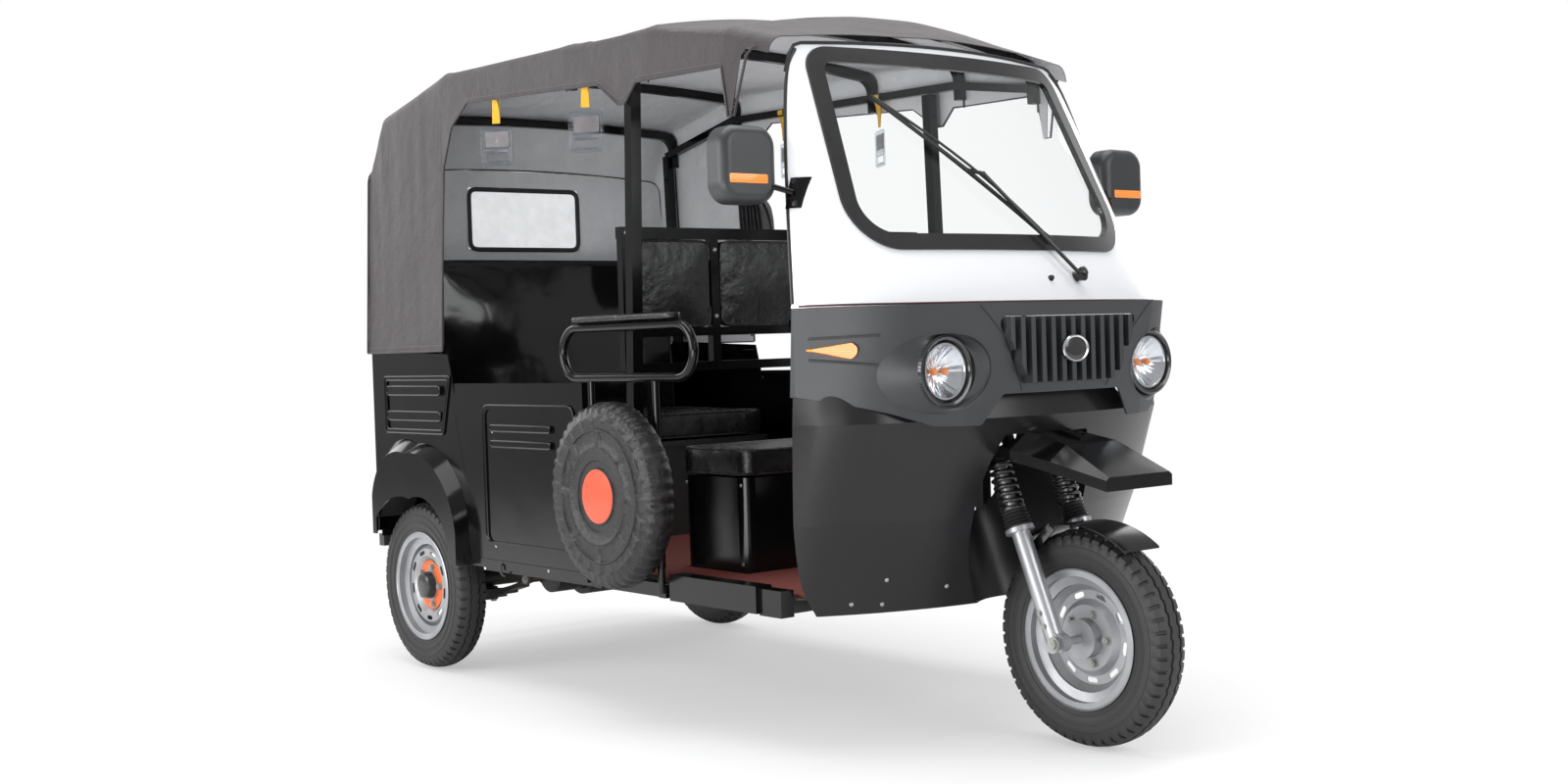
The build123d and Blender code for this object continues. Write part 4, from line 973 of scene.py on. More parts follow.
def rounded_plate(half_wide, half_high, corner, depth, rim=0.0, steps=8):
    """A plate with rounded corners and a slightly rounded front, about the origin: y across, z up, x out."""
    outline = []
    for cx, cy, start in ((1, 1, 0), (-1, 1, 90), (-1, -1, 180), (1, -1, 270)):
        for k in range(steps + 1):
            angle = math.radians(start + 90 * k / steps)
            outline.append((cx * (half_wide - corner), cy * (half_high - corner), math.cos(angle),
                            math.sin(angle)))
    bm = bmesh.new()
    rings = []
    for inset, x in ((0, 0), (0, depth * 0.6), (rim * 0.3, depth * 0.9), (rim, depth)):
        rings.append([bm.verts.new((x / 1000, (a + c * (corner - inset)) / 1000,
                                    (b + s * (corner - inset)) / 1000))
                      for a, b, c, s in outline])
    for near, far in zip(rings, rings[1:]):
        for k in range(len(outline)):
            m = (k + 1) % len(outline)
            bm.faces.new((near[k], near[m], far[m], far[k]))
    bm.faces.new(rings[-1])
    bm.faces.new(list(reversed(rings[0])))
    return bm


for side, name in both_sides:
    glass = rounded_plate(70, 80, 40, 2.0, 1.5)
    bmesh.ops.transform(glass, verts=glass.verts, matrix=Matrix.Translation(spot(1761.5, side * 668, 1416))
                        @ Matrix.Rotation(math.pi, 4, "Z"))
    piece_of("mirror_glass_" + name, glass, "root", "clear_glass", silvered)
    strip = rounded_plate(56, 11, 4, 5.0, 2.0)
    bmesh.ops.transform(strip, verts=strip.verts, matrix=Matrix.Translation(spot(1823, side * 676, 1382)))
    piece_of("mirror_strip_" + name, strip, "root", "amber_plastic", amber)
bracket_bolts = []
for side in (-1, 1):
    for x, z in ((1846, 1376), (1860, 1322)):
        place = meets(surface_of("mirror_arms"), (x, side * 900, z), (0, -side, 0))
        if place:
            bracket_bolts.append((place, (0.25, side, 0)))
fasten("bracket_bolts", "root", "black_paint", wiper_black, bracket_bolts, 6, 5)

# Seats: foam cushions boxed in glossy black leathercloth, with piping sewn round the edges of the faces.
# Each cover is pulled over its foam and stapled under a board; the filling swells it between its seams.
vinyl, wire, shader = new_finish("vinyl", Specular_IOR_Level=0.45)
creases = grain(wire, 16, 5, 0.6)
pores = grain(wire, 520, 2)
# Darker in the crease hollows and lighter on their ridges: painted shade and painted highlight of the
# creases.
tinted(wire, shader, creases, (0.004, 0.004, 0.0045), (0.01, 0.01, 0.011))
wire.feed(shader.inputs["Roughness"], creases * 0.2 + 0.16)
relief(wire, shader, creases * 0.85 + pores * 0.06, 0.55, 0.012)
taut_vinyl, wire, shader = new_finish("taut_vinyl", Specular_IOR_Level=0.5)
drawn = grain(wire, 2.2, 2, 0.4)
# Darker in the hollows of the drawn surface and lighter on its swells: painted shade and painted highlight.
tinted(wire, shader, drawn, (0.003, 0.003, 0.0035), (0.006, 0.006, 0.0065))
wire.feed(shader.inputs["Roughness"], drawn * 0.1 + 0.08)
relief(wire, shader, drawn + grain(wire, 9, 2) * 0.05, 0.6, 0.05)


def islands_of(node):
    """The separate closed solids of a node, each as a bmesh."""
    whole = bmesh.new()
    whole.from_mesh(nodes[node].data)
    bmesh.ops.remove_doubles(whole, verts=whole.verts, dist=1e-5)
    left = set(whole.verts)
    out = []
    while left:
        group, edge = set(), [left.pop()]
        while edge:
            vert = edge.pop()
            group.add(vert)
            for link in vert.link_edges:
                other = link.other_vert(vert)
                if other in left:
                    left.discard(other)
                    edge.append(other)
        part = bmesh.new()
        copies = {v: part.verts.new(v.co) for v in group}
        for face in whole.faces:
            if face.verts[0] in group:
                part.faces.new([copies[v] for v in face.verts])
        out.append(part)
    whole.free()
    return sorted(out, key=lambda bm: min(v.co.y for v in bm.verts))


def stuffed(name, form, face_axis, voxel, inset, cap, pressure, limit):
    """Blows up a foam form between its face seams; gives the skin and the lines of its seams."""
    low = Vector(min(v.co[k] for v in form.verts) for k in range(3))
    high = Vector(max(v.co[k] for v in form.verts) for k in range(3))
    middle = (low + high) / 2
    for vert in form.verts:
        for k in range(3):
            vert.co[k] = middle[k] + (vert.co[k] - middle[k]) * (1 - 2 * inset / (high[k] - low[k]))
    mesh = bpy.data.meshes.new(name)
    bmesh.ops.recalc_face_normals(form, faces=form.faces)
    form.to_mesh(mesh)
    form.free()
    pad = bpy.data.objects.new(name + "_form", mesh)
    scene.collection.objects.link(pad)
    remesh = pad.modifiers.new("voxels", "REMESH")
    remesh.mode = "VOXEL"
    remesh.voxel_size = voxel
    mesh = bpy.data.meshes.new_from_object(pad.evaluated_get(bpy.context.evaluated_depsgraph_get()))
    pad.modifiers.clear()
    pad.data = mesh
    start = [v.co.copy() for v in mesh.vertices]
    half = (high - low) / 2
    across = [k for k in range(3) if k != face_axis]
    seam, lines = [], {1: {}, -1: {}}
    for vert in mesh.vertices:
        tilt = abs(vert.normal[face_axis])
        if 0.3 < tilt < 0.94:
            seam.append(vert.index)
            side = 1 if vert.normal[face_axis] > 0 else -1
            angle = math.atan2((vert.co[across[1]] - middle[across[1]]) / half[across[1]],
                               (vert.co[across[0]] - middle[across[0]]) / half[across[0]])
            lines[side].setdefault(round(angle / math.tau * 120), []).append(vert.co.copy())
    held = pad.vertex_groups.new(name="seam")
    held.add(seam, 1.0, "REPLACE")
    cloth = pad.modifiers.new("cloth", "CLOTH")
    settings = cloth.settings
    settings.quality = 4
    settings.mass = 0.3
    settings.tension_stiffness = settings.compression_stiffness = 14
    settings.shear_stiffness = 6
    settings.bending_stiffness = 0.6
    settings.use_pressure = True
    settings.uniform_pressure_force = pressure
    settings.effector_weights.gravity = 0
    settings.vertex_group_mass = "seam"
    cloth.collision_settings.use_collision = False
    for frame_number in range(1, 21):
        scene.frame_set(frame_number)
    mesh = bpy.data.meshes.new_from_object(pad.evaluated_get(bpy.context.evaluated_depsgraph_get()))
    pad.modifiers.clear()
    scene.frame_set(1)
    for vert, first in zip(mesh.vertices, start):
        move = vert.co - first
        if move.length > cap:
            move *= cap / move.length
        vert.co = first + move
        limit(vert.co, low, high)
    bpy.data.objects.remove(pad)
    smooth = bpy.data.objects.new(name + "_smooth", mesh)
    scene.collection.objects.link(smooth)
    level = smooth.modifiers.new("subdivision", "SUBSURF")
    level.levels = level.render_levels = 1
    mesh = bpy.data.meshes.new_from_object(smooth.evaluated_get(bpy.context.evaluated_depsgraph_get()))
    bpy.data.objects.remove(smooth)
    skin = piece_of(name, mesh, "root", "black_leather", taut_vinyl if "back" in name else vinyl, crease=70)
    seams = {}
    for side, bins in lines.items():
        ring = []
        for key in sorted(bins):
            group = bins[key]
            far = max(group, key=lambda c: abs(c[across[0]] - middle[across[0]])
                      + abs(c[across[1]] - middle[across[1]]))
            ring.append(((far.x - rear_axle_x) * 1000, far.y * 1000, far.z * 1000))
        closed = len(ring) > 3 and Vector(ring[0]).to_tuple(1) == Vector(ring[-1]).to_tuple(1)
        seams[side] = ring[1:] if closed else ring
    return skin, seams


def keep_between(axis, below, above):
    """Holds a pad's skin between two planes along an axis, measured from its form's box."""
    def limit(place, low, high):
        if below is not None:
            place[axis] = max(place[axis], low[axis] + below)
        if above is not None:
            place[axis] = min(place[axis], high[axis] + above)
    return limit


# columns: node, seam faces across axis, voxel m, pull-in m, cap m, pressure, plane kept, seam sides, fill
pads = (
    ("bench_cushion", 2, 0.009, 0.007, 0.026, 5.0, keep_between(2, 0.0004, 0.006), (1, -1), 0.8),
    ("bench_back", 0, 0.010, 0.007, 0.024, 4.0, keep_between(0, 0.0004, None), (1,), 0.7),
    ("driver_seat_cushion", 2, 0.007, 0.006, 0.024, 5.0, keep_between(2, 0.0004, 0.006), (1, -1), 0.8),
    ("partition_pads", 0, 0.006, 0.003, 0.014, 3.5, keep_between(0, 0.0, 0.006), (1, -1), 0.6),
    ("armrest_pads", 2, 0.004, 0.002, 0.008, 4.0, keep_between(2, 0.0002, 0.004), (), 0.7),
)
for node, face_axis, voxel, inset, cap, pressure, limit, seam_sides, fill in pads:
    for k, form in enumerate(islands_of(node)):
        pad, seams = stuffed(f"{node}_{k}", form, face_axis, voxel, inset, cap, pressure, limit)
        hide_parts(node)
        for side in seam_sides:
            smooth_line = seams[side]
            for _ in range(3):
                smooth_line = [tuple((Vector(smooth_line[i - 1]) + Vector(smooth_line[i]) * 2
                                      + Vector(smooth_line[(i + 1) % len(smooth_line)])) / 4)
                               for i in range(len(smooth_line))]
            piping = swept(smooth_line, 3.6, 8, closed=True)
            piece_of(f"{node}_{k}_piping_{'far' if side < 0 else 'near'}", piping, "root", "black_leather",
                     vinyl)

# Canopy: one sheet of PVC-coated polyester, dark purple-grey outside and pale grey inside, pulled over the
# bows.
# It is sewn from panels with a corded hem, tied to the rails, and hangs as a skirt behind the seats.
roof_bows = ((-308, 585, 1600, 1625), (-205, 585, 1772, 1792), (190, 585, 1856, 1880),
             (900, 582, 1842, 1880),
             (1290, 578, 1834, 1886), (1600, 562, 1784, 1848), (1806, 530, 1738, 1764))
skirt_foot = 1003
# The upper edge of the side openings: place along the vehicle, height of the hem.
hem_line = ((-308, 1003), (195, 1003), (197, 1180), (213, 1560), (262, 1680), (360, 1744), (1060, 1706),
            (1160, 1640),
            (1190, 1640), (1240, 1690), (1590, 1682), (1618, 1556), (1640, 1556), (1676, 1700),
            (1700, 1735), (1830, 1735))


def between(table, x):
    """Straight-line values of a table at a place along the vehicle."""
    for first, last in zip(table, table[1:]):
        if x <= last[0] or last is table[-1]:
            share = min(max((x - first[0]) / (last[0] - first[0]), 0), 1)
            return [a + (b - a) * share for a, b in zip(first[1:], last[1:])]


def front_edge(y):
    """How far forward the canopy reaches over the windscreen panel."""
    return 1738 + 52 * (1 - (min(abs(y), 560) / 560) ** 2)


section_count = 34, 9, 42


def half_section(x, inset):
    """The canopy's right half section: from the hem up the side, round the shoulder, over to the ridge."""
    half, shoulder, ridge = between(roof_bows, x)
    foot = min(between(hem_line, x)[0], shoulder - 42)
    base, top, z = 612 - inset, half - inset, shoulder - inset
    side = top + (base - top) * 40 / (shoulder - 993)
    out = []
    for k in range(section_count[0]):
        height = foot + (z - 40 - foot) * k / section_count[0]
        out.append((base + (side - base) * (height - 993) / (z - 40 - 993), height))
    out += arc_points((side, z - 40), (side - 13, z - 9), (top - 44, z + 4), section_count[1])
    over = arc_points((top - 44, z + 4), (0, ridge - inset), (44 - top, z + 4), section_count[2] * 2 + 1)
    return out + over[1:section_count[2] + 1]


bow_places = [row[0] for row in roof_bows[:-1]]
stations = set()
for first, last in zip(hem_line, hem_line[1:]):
    count = max(1, round((last[0] - first[0]) / 17))
    stations.update(first[0] + (last[0] - first[0]) * k / count for k in range(count + 1))
stations = sorted(stations | set(bow_places))
stations = [x for x in stations if x <= 1806]


def cloth_lift(x, y, z):
    """Sag between the bows, stretch lines from the posts and the soft waves of the hanging skirt, in mm."""
    sag = 0
    for a, b in zip(bow_places, bow_places[1:]):
        if a < x < b:
            sag = math.sin(math.pi * (x - a) / (b - a)) ** 0.7
    top = min(max((z - 1700) / 90, 0), 1)
    slow = noise.noise(Vector((x / 260, y / 300, z / 340)))
    fine = noise.noise(Vector((x / 70, y / 150, z / 210 + 4)))
    streak = noise.noise(Vector((x / 45 + z / 500, 7, z / 420)))
    hang = 1 - top
    return -6.5 * sag * top + slow * (3.0 * top + 7.0 * hang) + fine * 2.2 + streak * 4.2 * hang


bm = bmesh.new()
columns = []
for x in stations:
    profile = half_section(x, 2.0)
    ring = []
    whole = [(-y, z) for y, z in profile] + [(y, z) for y, z in reversed(profile[:-1])]
    for y, z in whole:
        place_x = x if x <= 1600 else 1600 + (x - 1600) / 206 * (front_edge(y) - 1600)
        lift = cloth_lift(x, y, z)
        edge = min(1, (z - min(between(hem_line, x)[0], 1735)) / 60 + 0.25)
        if z > 1700 and abs(y) < 560:
            ring.append(bm.verts.new(spot(place_x, y, z + lift * edge)))
        else:
            out = math.copysign(1, y)
            ring.append(bm.verts.new(spot(place_x, y + out * (lift * 0.55 - 1.0) * edge, z)))
    columns.append(ring)
for near, far in zip(columns, columns[1:]):
    for k in range(len(near) - 1):
        bm.faces.new((near[k], far[k], far[k + 1], near[k + 1]))
canopy_cloth, wire, shader = new_finish("canopy_cloth", Sheen_Weight=0.12, Sheen_Roughness=0.5)
place = wire.make("ShaderNodeTexCoord", None, None, "Object")
weave = wire.make("ShaderNodeTexVoronoi", {"feature": "F1"}, {"Vector": place, "Scale": 620.0}, "Distance")
cloud = grain(wire, 4, 5, 0.6)
crumple = grain(wire, 17, 4, 0.6)
fade = grain(wire, 60, 3)
tinted(wire, shader, cloud * 0.6 + fade * 0.4, (0.017, 0.0125, 0.0145), (0.034, 0.026, 0.029))
wire.feed(shader.inputs["Roughness"], cloud * 0.18 + 0.5)
relief(wire, shader, grain(wire, 2.6, 3, 0.45) * 1.6 + crumple * 0.5 + cloud * 0.5 + weave * 0.04, 0.55,
       0.022)
lining_grey, wire, shader = new_finish("lining_grey")
puckers = grain(wire, 13, 4, 0.6)
# Darker grey where the lining puckers: painted shade of its folds.
tinted(wire, shader, puckers, (0.8, 0.81, 0.83), (0.62, 0.63, 0.65))
wire.feed(shader.inputs["Roughness"], puckers * 0.2 + 0.5)
relief(wire, shader, puckers * 0.6 + grain(wire, 4, 3, 0.5), 0.6, 0.03)


def cut_cloth(name, shape, thickness, outer, inner, slot="canopy_cloth"):
    """Gives a sheet its two sides: the outer cloth and the lining, held together by its edge."""
    bmesh.ops.remove_doubles(shape, verts=shape.verts, dist=1e-5)
    mesh = bpy.data.meshes.new(name)
    shape.to_mesh(mesh)
    shape.free()
    mesh.materials.append(outer)
    mesh.materials.append(inner)
    raw = bpy.data.objects.new(name + "_cut", mesh)
    scene.collection.objects.link(raw)
    wall = raw.modifiers.new("thickness", "SOLIDIFY")
    wall.thickness = thickness
    wall.offset = -1
    wall.material_offset = 1
    wall.material_offset_rim = 0
    mesh = bpy.data.meshes.new_from_object(raw.evaluated_get(bpy.context.evaluated_depsgraph_get()))
    bpy.data.objects.remove(raw)
    return piece_of(name, mesh, "root", slot, crease=50)


bmesh.ops.recalc_face_normals(bm, faces=bm.faces)
if sum(face.normal.z * face.calc_area() for face in bm.faces) < 0:
    bmesh.ops.reverse_faces(bm, faces=bm.faces)
roof_cloth = cut_cloth("canopy_roof", bm, 0.0022, canopy_cloth, lining_grey)
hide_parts("canopy")

# Back of the canopy: a panel of the same cloth with a sewn-in window of clear sheet, bound all round.
# The clear sheet is soft PVC, hazy and crumpled from being rolled up.
window = (0, 1450, 222, 107)
bm = bmesh.new()
rows = [skirt_foot + (1618 - skirt_foot) * k / 41 for k in range(42)]
across = [-600 + 1200 * k / 80 for k in range(81)]
grid = []
for z in rows:
    half, shoulder, ridge = between(roof_bows, -308)
    wide = between([(993, 611), (1560, 586), (1600, 560), (1620, 300)], z)[0]
    grid.append([bm.verts.new(spot(-306.5 + 3.5 * noise.noise(Vector((y / 160, 3, z / 240)))
                                   + 2.0 * noise.noise(Vector((y / 50, 5, z / 190))), y / 600 * wide, z))
                                   for y in across])
for near, far in zip(grid, grid[1:]):
    for k in range(len(across) - 1):
        middle = sum((v.co for v in (near[k], near[k + 1], far[k], far[k + 1])), Vector()) / 4
        if abs(middle.y * 1000) < window[2] - 6 and abs(middle.z * 1000 - window[1]) < window[3] - 6:
            continue
        bm.faces.new((near[k], far[k], far[k + 1], near[k + 1]))
bmesh.ops.recalc_face_normals(bm, faces=bm.faces)
if sum(face.normal.x * face.calc_area() for face in bm.faces) > 0:
    bmesh.ops.reverse_faces(bm, faces=bm.faces)
back_cloth = cut_cloth("canopy_back", bm, 0.002, canopy_cloth, lining_grey)
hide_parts("canopy")
window_clear, wire, shader = new_finish("window_clear", Roughness=0.2)
haze = grain(wire, 12, 5, 0.65)
tinted(wire, shader, haze, (0.9, 0.91, 0.92), (0.7, 0.72, 0.74))
relief(wire, shader, haze, 0.8, 0.012)
through = wire.make("ShaderNodeBsdfTransparent", None, {"Color": (0.93, 0.94, 0.95, 1)})
mixed = wire.make("ShaderNodeMixShader", None,
                  {0: haze * 0.22 + 0.02, 1: through, 2: Wire(wire.tree, shader.outputs[0])})
wire.feed(wire.tree.nodes["Material Output"].inputs["Surface"], mixed)
bm = bmesh.new()
grid = [[bm.verts.new(spot(-304.5 + 3.0 * noise.noise(Vector((y / 60, 9, z / 60))), y, z))
         for y in np.linspace(-window[2], window[2], 45)]
         for z in np.linspace(window[1] - window[3], window[1] + window[3], 23)]
for near, far in zip(grid, grid[1:]):
    for k in range(44):
        bm.faces.new((near[k], near[k + 1], far[k + 1], far[k]))
window_sheet = cut_cloth("window_sheet", bm, 0.0008, window_clear, window_clear, "clear_sheet")
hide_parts("rear_window")
binding_black, wire, shader = varied_finish("binding_black", (80,), (0.01, 0.01, 0.011), (0.03, 0.028, 0.03),
                                            (80,), 0.2, 0.5)
frame_line = rounded_line([(-305, window[2] - 4, window[1] - window[3] + 4),
                           (-305, window[2] - 4, window[1] + window[3] - 4),
                           (-305, 4 - window[2], window[1] + window[3] - 4),
                           (-305, 4 - window[2], window[1] - window[3] + 4)],
                          30, closed=True)
for k, x in enumerate((-302.5, -307.5)):
    line = [(x, y, z) for _, y, z in frame_line]
    piece_of(f"window_binding_{k}", swept(line, 8, 8, closed=True, flat=0.3, up=(1, 0, 0)), "root",
             "canopy_cloth",
             canopy_cloth if k else binding_black)

# Hems and piping: a cord folded into the edge of the cloth and lock-stitched, and seams over the bows.
# The stitches are pale thread, about 8 mm long.
for side, name in both_sides:
    hem = []
    for x in stations:
        if x > 1700:
            continue
        y, z = half_section(x, 2.0)[0]
        hem.append((x, side * (y + 0.5), z))
    piece_of("hem_" + name, swept(hem, 3.4, 8), "root", "canopy_cloth", canopy_cloth)
foot_hem = [(-307, y, skirt_foot) for y in np.linspace(-610, 610, 30)]
piece_of("hem_back", swept(foot_hem, 3.4, 8), "root", "canopy_cloth", canopy_cloth)
for k, x in enumerate((-306, -205, 190, 900, 1290, 1600)):
    half_line = half_section(x, 0.2)
    seam = [(x, -y, z) for y, z in half_line] + [(x, y, z) for y, z in reversed(half_line[:-1])]
    raised = [(px, py + math.copysign(1.2, py) * (abs(py) > 560), pz + 0.8) for px, py, pz in seam][::2]
    if k == 0:
        piece_of(f"bow_seam_{k}", swept(raised, 3.2, 8), "root", "canopy_cloth", canopy_cloth)
    inner = [(px, py * 0.988, pz - 6) for px, py, pz in seam if pz > 1003][::2]
    piece_of(f"lining_seam_{k}", swept(inner, 3.0, 8), "root", "canopy_cloth", binding_black)


def stitches(wire, given, points):
    """Short dashes of thread on a row of seats."""
    dash = wire.make("GeometryNodeMeshUVSphere", None,
                     {"Segments": 6, "Rings": 4, "Radius": given["radius"]}, "Mesh")
    long_way = wire.make("ShaderNodeCombineXYZ", None, {"X": 1.0, "Y": 1.0, "Z": given["reach"]})
    return on_seats(wire, wire.make("GeometryNodeTransform", None, {"Geometry": dash, "Scale": long_way}),
                    points)


thread_grey, wire, shader = varied_finish("thread_grey", (90,), (0.14, 0.12, 0.13), (0.22, 0.2, 0.2),
                                          (90,), 0.2, 0.6)


def stitch_row(line, gap):
    """Seats along a line of places, each facing along it."""
    seats, carry = [], 0.0
    for a, b in zip(line, line[1:]):
        a, b = Vector(a), Vector(b)
        run = (b - a).length
        while carry < run:
            seats.append((tuple(a + (b - a) * (carry / run)), tuple(b - a)))
            carry += gap
        carry -= run
    return seats


rows = []
for side in (-1, 1):
    above = []
    for x in stations:
        if 197 < x < 1690:
            y, z = half_section(x, 0)[2]
            above.append((x, side * (y + 1.5), z + 6))
    rows += stitch_row(above, 9)
    rows += stitch_row([(x, side * 612.5, skirt_foot + 16) for x in (-300, 190)], 9)
piece_of("hem_stitches", grown("hem_stitches", thread_grey, stitches, seats_mesh(rows), radius=0.0007,
                               reach=4.5),
         "root", "canopy_cloth")

# Curtain: the left door's roll-up side curtain, gathered and strapped to the rear edge of its opening.
# Black coated cloth, pleated where the strap pulls it together.
bm = bmesh.new()
grid = []
for i in range(36):
    t = i / 35
    pinch = 1 - 0.45 * math.exp(-((t - 0.42) / 0.12) ** 2)
    row = []
    for j in range(121):
        s = j / 120
        depth = 0.8 + 0.3 * noise.noise(Vector((s * 5, t * 2, 1)))
        fold = 26 * pinch * math.sin(s * 15 * math.pi + 0.6 * math.sin(t * 5)) * depth
        row.append(bm.verts.new(spot(205 + 150 * pinch * s + 20 * t, 545 + 10 * t + fold, 1700 - 400 * t)))
    grid.append(row)
for near, far in zip(grid, grid[1:]):
    for k in range(120):
        bm.faces.new((near[k], near[k + 1], far[k + 1], far[k]))
curtain_black, wire, shader = varied_finish("curtain_black", (14, 4), (0.012, 0.012, 0.014),
                                            (0.03, 0.029, 0.032), (14, 4), 0.2, 0.4)
relief(wire, shader, grain(wire, 26, 4), 0.5, 0.008)
curtain = cut_cloth("curtain", bm, 0.0014, curtain_black, curtain_black)

# Hand straps: yellow webbing looped over the rail, each with a clear moulded grip that has a card pocket.
# Polyester webbing, sewn; the grip is injection-moulded clear plastic.
webbing_yellow, wire, shader = new_finish("webbing_yellow", Sheen_Weight=0.3)
place = wire.make("ShaderNodeTexCoord", None, None, "Object")
yarn = wire.make("ShaderNodeTexWave", {"wave_type": "BANDS", "bands_direction": "Z"},
                 {"Vector": place, "Scale": 260.0, "Distortion": 0.4}, "Fac")
# Darker between the yarn ribs and lighter on them: painted shade and painted highlight of the weave.
tinted(wire, shader, yarn, (0.75, 0.36, 0.01), (0.95, 0.58, 0.03))
wire.feed(shader.inputs["Roughness"], yarn * 0.2 + 0.6)
relief(wire, shader, yarn, 0.5, 0.0008)
grip_clear = clear("grip_clear", (0.86, 0.88, 0.9), 0.08, wave=0.3)
card_dark, wire, shader = varied_finish("card_dark", (30, 4), (0.3, 0.27, 0.27), (0.14, 0.11, 0.11),
                                        (30,), 0.1, 0.3, Coat_Weight=0.5)
for k, (x, side) in enumerate(((465, -1), (944, -1), (465, 1), (944, 1))):
    half, shoulder, ridge = between(roof_bows, x)
    rail_y, rail_z = half - 34, shoulder - 88
    y, top = side * rail_y, rail_z
    loop = [(x, y, top - 92), (x, y + 1.5, top - 50), (x, y + 6, top - 16), (x, y + 14, top - 4),
            (x, y + 14, top + 8),
            (x, y + 7, top + 14), (x, y - 7, top + 14), (x, y - 14, top + 8), (x, y - 14, top - 4),
            (x, y - 6, top - 16),
            (x, y - 1.5, top - 50), (x, y - 1.5, top - 92)]
    loop = rounded_line(loop, 8)
    bm = bmesh.new()
    twist = math.radians(38 if side < 0 else -26)
    strips = []
    for dx in (-12, -6, 0, 6, 12):
        strips.append([])
        for px, py, pz in loop:
            angle = twist * min(max((top - 14 - pz) / 66, 0), 1)
            strips[-1].append(bm.verts.new(spot(px + dx * math.cos(angle), py + dx * math.sin(angle), pz)))
    for near, far in zip(strips, strips[1:]):
        for j in range(len(loop) - 1):
            bm.faces.new((near[j], near[j + 1], far[j + 1], far[j]))
    web = cut_cloth(f"strap_web_{k}", bm, 0.0013, webbing_yellow, webbing_yellow, "clear_plastic")
    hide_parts("hand_straps")
    grip_z = top - 158
    rims = []
    for half_wide, half_high, dz, corner in ((47, 54, 0, 12), (38, 26, 19, 5), (34, 12, -34, 8)):
        ring = rounded_line([(x + half_wide, y, grip_z + dz - half_high),
                             (x + half_wide, y, grip_z + dz + half_high),
                             (x - half_wide, y, grip_z + dz + half_high),
                             (x - half_wide, y, grip_z + dz - half_high)],
                            corner, closed=True)
        rims.append(ring)
    hang = Matrix.Translation(spot(x, y, 0)) @ Matrix.Rotation(twist, 4,
                                                               "Z") @ Matrix.Translation(-spot(x, y, 0))
    for j, ring in enumerate(rims):
        rim_form = swept(ring, 4.2 if j == 0 else 3.0, 8, closed=True, up=(0, 1, 0))
        bmesh.ops.transform(rim_form, verts=rim_form.verts, matrix=hang)
        piece_of(f"grip_rim_{k}_{j}", rim_form, "root", "clear_plastic", grip_clear)
    for j, (low_z, high_z, wide, thick, finish) in enumerate(((-5, 46, 42, 1.2, grip_clear),
                                                              (-3, 42, 37, 0.5, card_dark),
                                                             (-22, -8, 42, 1.6, grip_clear),
                                                             (-52, -46, 40, 1.6, grip_clear))):
        plate = rounded_plate(wide, (high_z - low_z) / 2, 3, thick * 2, thick * 0.5)
        shift = Matrix.Translation(spot(x, y - thick,
                                        grip_z + (low_z + high_z) / 2)) @ Matrix.Rotation(math.pi / 2, 4,
                                                                                          "Z")
        bmesh.ops.transform(plate, verts=plate.verts, matrix=hang @ shift)
        piece_of(f"grip_plate_{k}_{j}", plate, "root", "clear_plastic", finish)

# Spare wheel: a wheel in a cover of black leathercloth, strapped to the armrest legs on the right side.
# The cover's face is embossed with rings and dashes round a plain orange disc; its rim is gathered over the
# tyre.
cover_black, wire, shader = new_finish("cover_black", Specular_IOR_Level=0.45)
crinkle = grain(wire, 34, 5, 0.65)
# Darker in the crinkle hollows and lighter on their ridges: painted shade and painted highlight.
tinted(wire, shader, crinkle, (0.004, 0.004, 0.0045), (0.01, 0.01, 0.011))
wire.feed(shader.inputs["Roughness"], crinkle * 0.25 + 0.22)
relief(wire, shader, crinkle, 0.6, 0.01)
spare_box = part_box("spare_wheel_cover")
spare_x = ((spare_box[0].x + spare_box[1].x) / 2 - rear_axle_x) * 1000
spare_z = (spare_box[0].z + spare_box[1].z) / 2 * 1000
face_y, back_y = spare_box[0].y * 1000 + 4, spare_box[1].y * 1000
spare_radius = (spare_box[1].z - spare_box[0].z) / 2 * 1000 - 5
face_rows = [(0.5, 0), (74, 0), (76, -3), (92, -3), (94, 0), (120, 0.5), (123, 3.5), (127, 3.5), (130, 0),
             (150, -1),
             (168, -1), (171, 3), (175, 3), (178, -1), (196, -2), (204, -1), (210, -4)]
cover_rows = [(face_y - (h - 4) * 1.0, r) for r, h in face_rows]
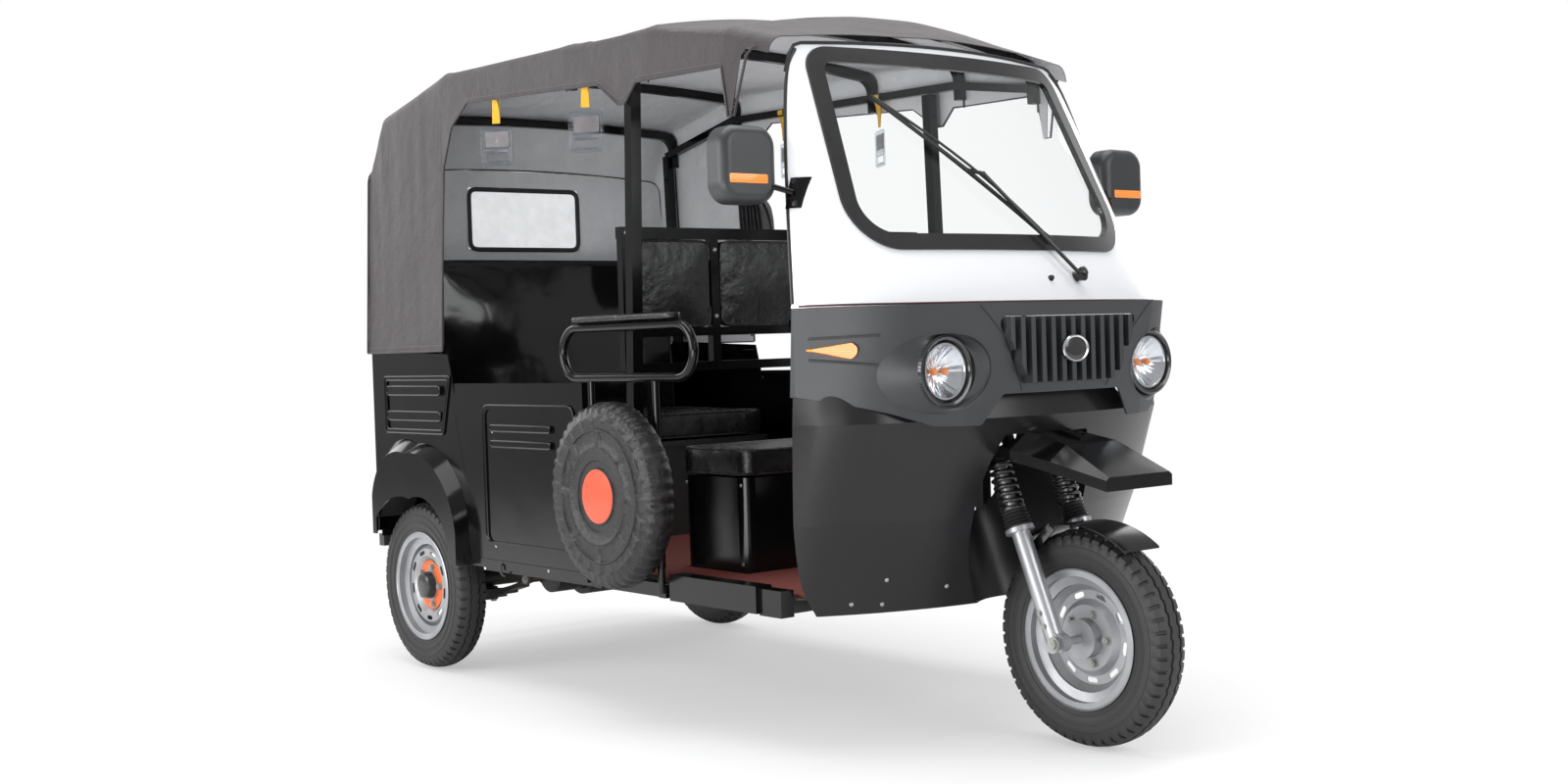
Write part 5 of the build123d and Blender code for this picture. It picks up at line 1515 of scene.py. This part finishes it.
cover_rows += [(face_y + 12, spare_radius - 12), (face_y + 24, spare_radius - 4),
               (face_y + 40, spare_radius),
               (face_y + 58, spare_radius), (face_y + 74, spare_radius - 2),
               (back_y - 10, spare_radius - 26),
               (back_y, spare_radius - 60), (back_y, 0.5)]


def gathered(i, j):
    """Dashes embossed on the face, and pleats round the rim of the cover."""
    y, radius = cover_rows[i]
    turn = j / 288
    if 196 <= radius <= 204 and i < len(face_rows) and j % 12 < 8:
        y -= 3.2
    if 150 <= radius <= 168 and i < len(face_rows) and j % 36 < 5:
        y -= 3.0
    if radius > 205:
        fold = math.sin(turn * math.tau * 46 + 1.4 * noise.noise(Vector((turn * 30, y / 30, 2))))
        deep = 4.6 * min(1, (radius - 205) / 25)
        radius += fold * deep * (0.65 + 0.5 * noise.noise(Vector((turn * 18, y / 50, 5)))) - deep * 0.4
    return y, radius, turn


spare = piece_of("spare_cover", turned(cover_rows, (spare_x, 0, spare_z), 288, gathered, closed=False),
                 "root", "spare_cover",
                 cover_black, crease=48)
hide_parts("spare_wheel_cover")
disc_orange, wire, shader = varied_finish("disc_orange", (20, 3), (0.82, 0.075, 0.02), (0.7, 0.055, 0.015),
                                          (20,), 0.15, 0.35, Coat_Weight=0.3)
relief(wire, shader, grain(wire, 30, 3), 0.3, 0.004)
disc = [(face_y + 5.5, 0.5), (face_y + 2.6, 0.5), (face_y + 2.4, 66), (face_y + 3.2, 70),
        (face_y + 5.5, 71)]
piece_of("cover_disc", turned(disc, (spare_x, 0, spare_z), 72, closed=False), "root", "spare_cover",
         disc_orange)

# Rear lamps: red acrylic lenses with moulded cross prisms on black cases, screwed to the tail panel.
# Solid-coloured plastic with a chromed screw at each end.
lamp_red, wire, shader = new_finish("lamp_red", Coat_Weight=0.7)
place = wire.make("ShaderNodeTexCoord", None, None, "Object")
facets = wire.make("ShaderNodeTexWave", {"wave_type": "BANDS", "bands_direction": "Z"},
                   {"Vector": place, "Scale": 55.0, "Distortion": 0.0}, "Fac")
# Lighter on the facet crests and darker between them: painted highlight and painted shade on the prisms.
tinted(wire, shader, facets, (0.38, 0.008, 0.008), (0.55, 0.02, 0.015))
wire.feed(shader.inputs["Roughness"], facets * 0.1 + 0.14)
relief(wire, shader, facets, 0.5, 0.002)
coat(lamp_red, "rear_lamps")
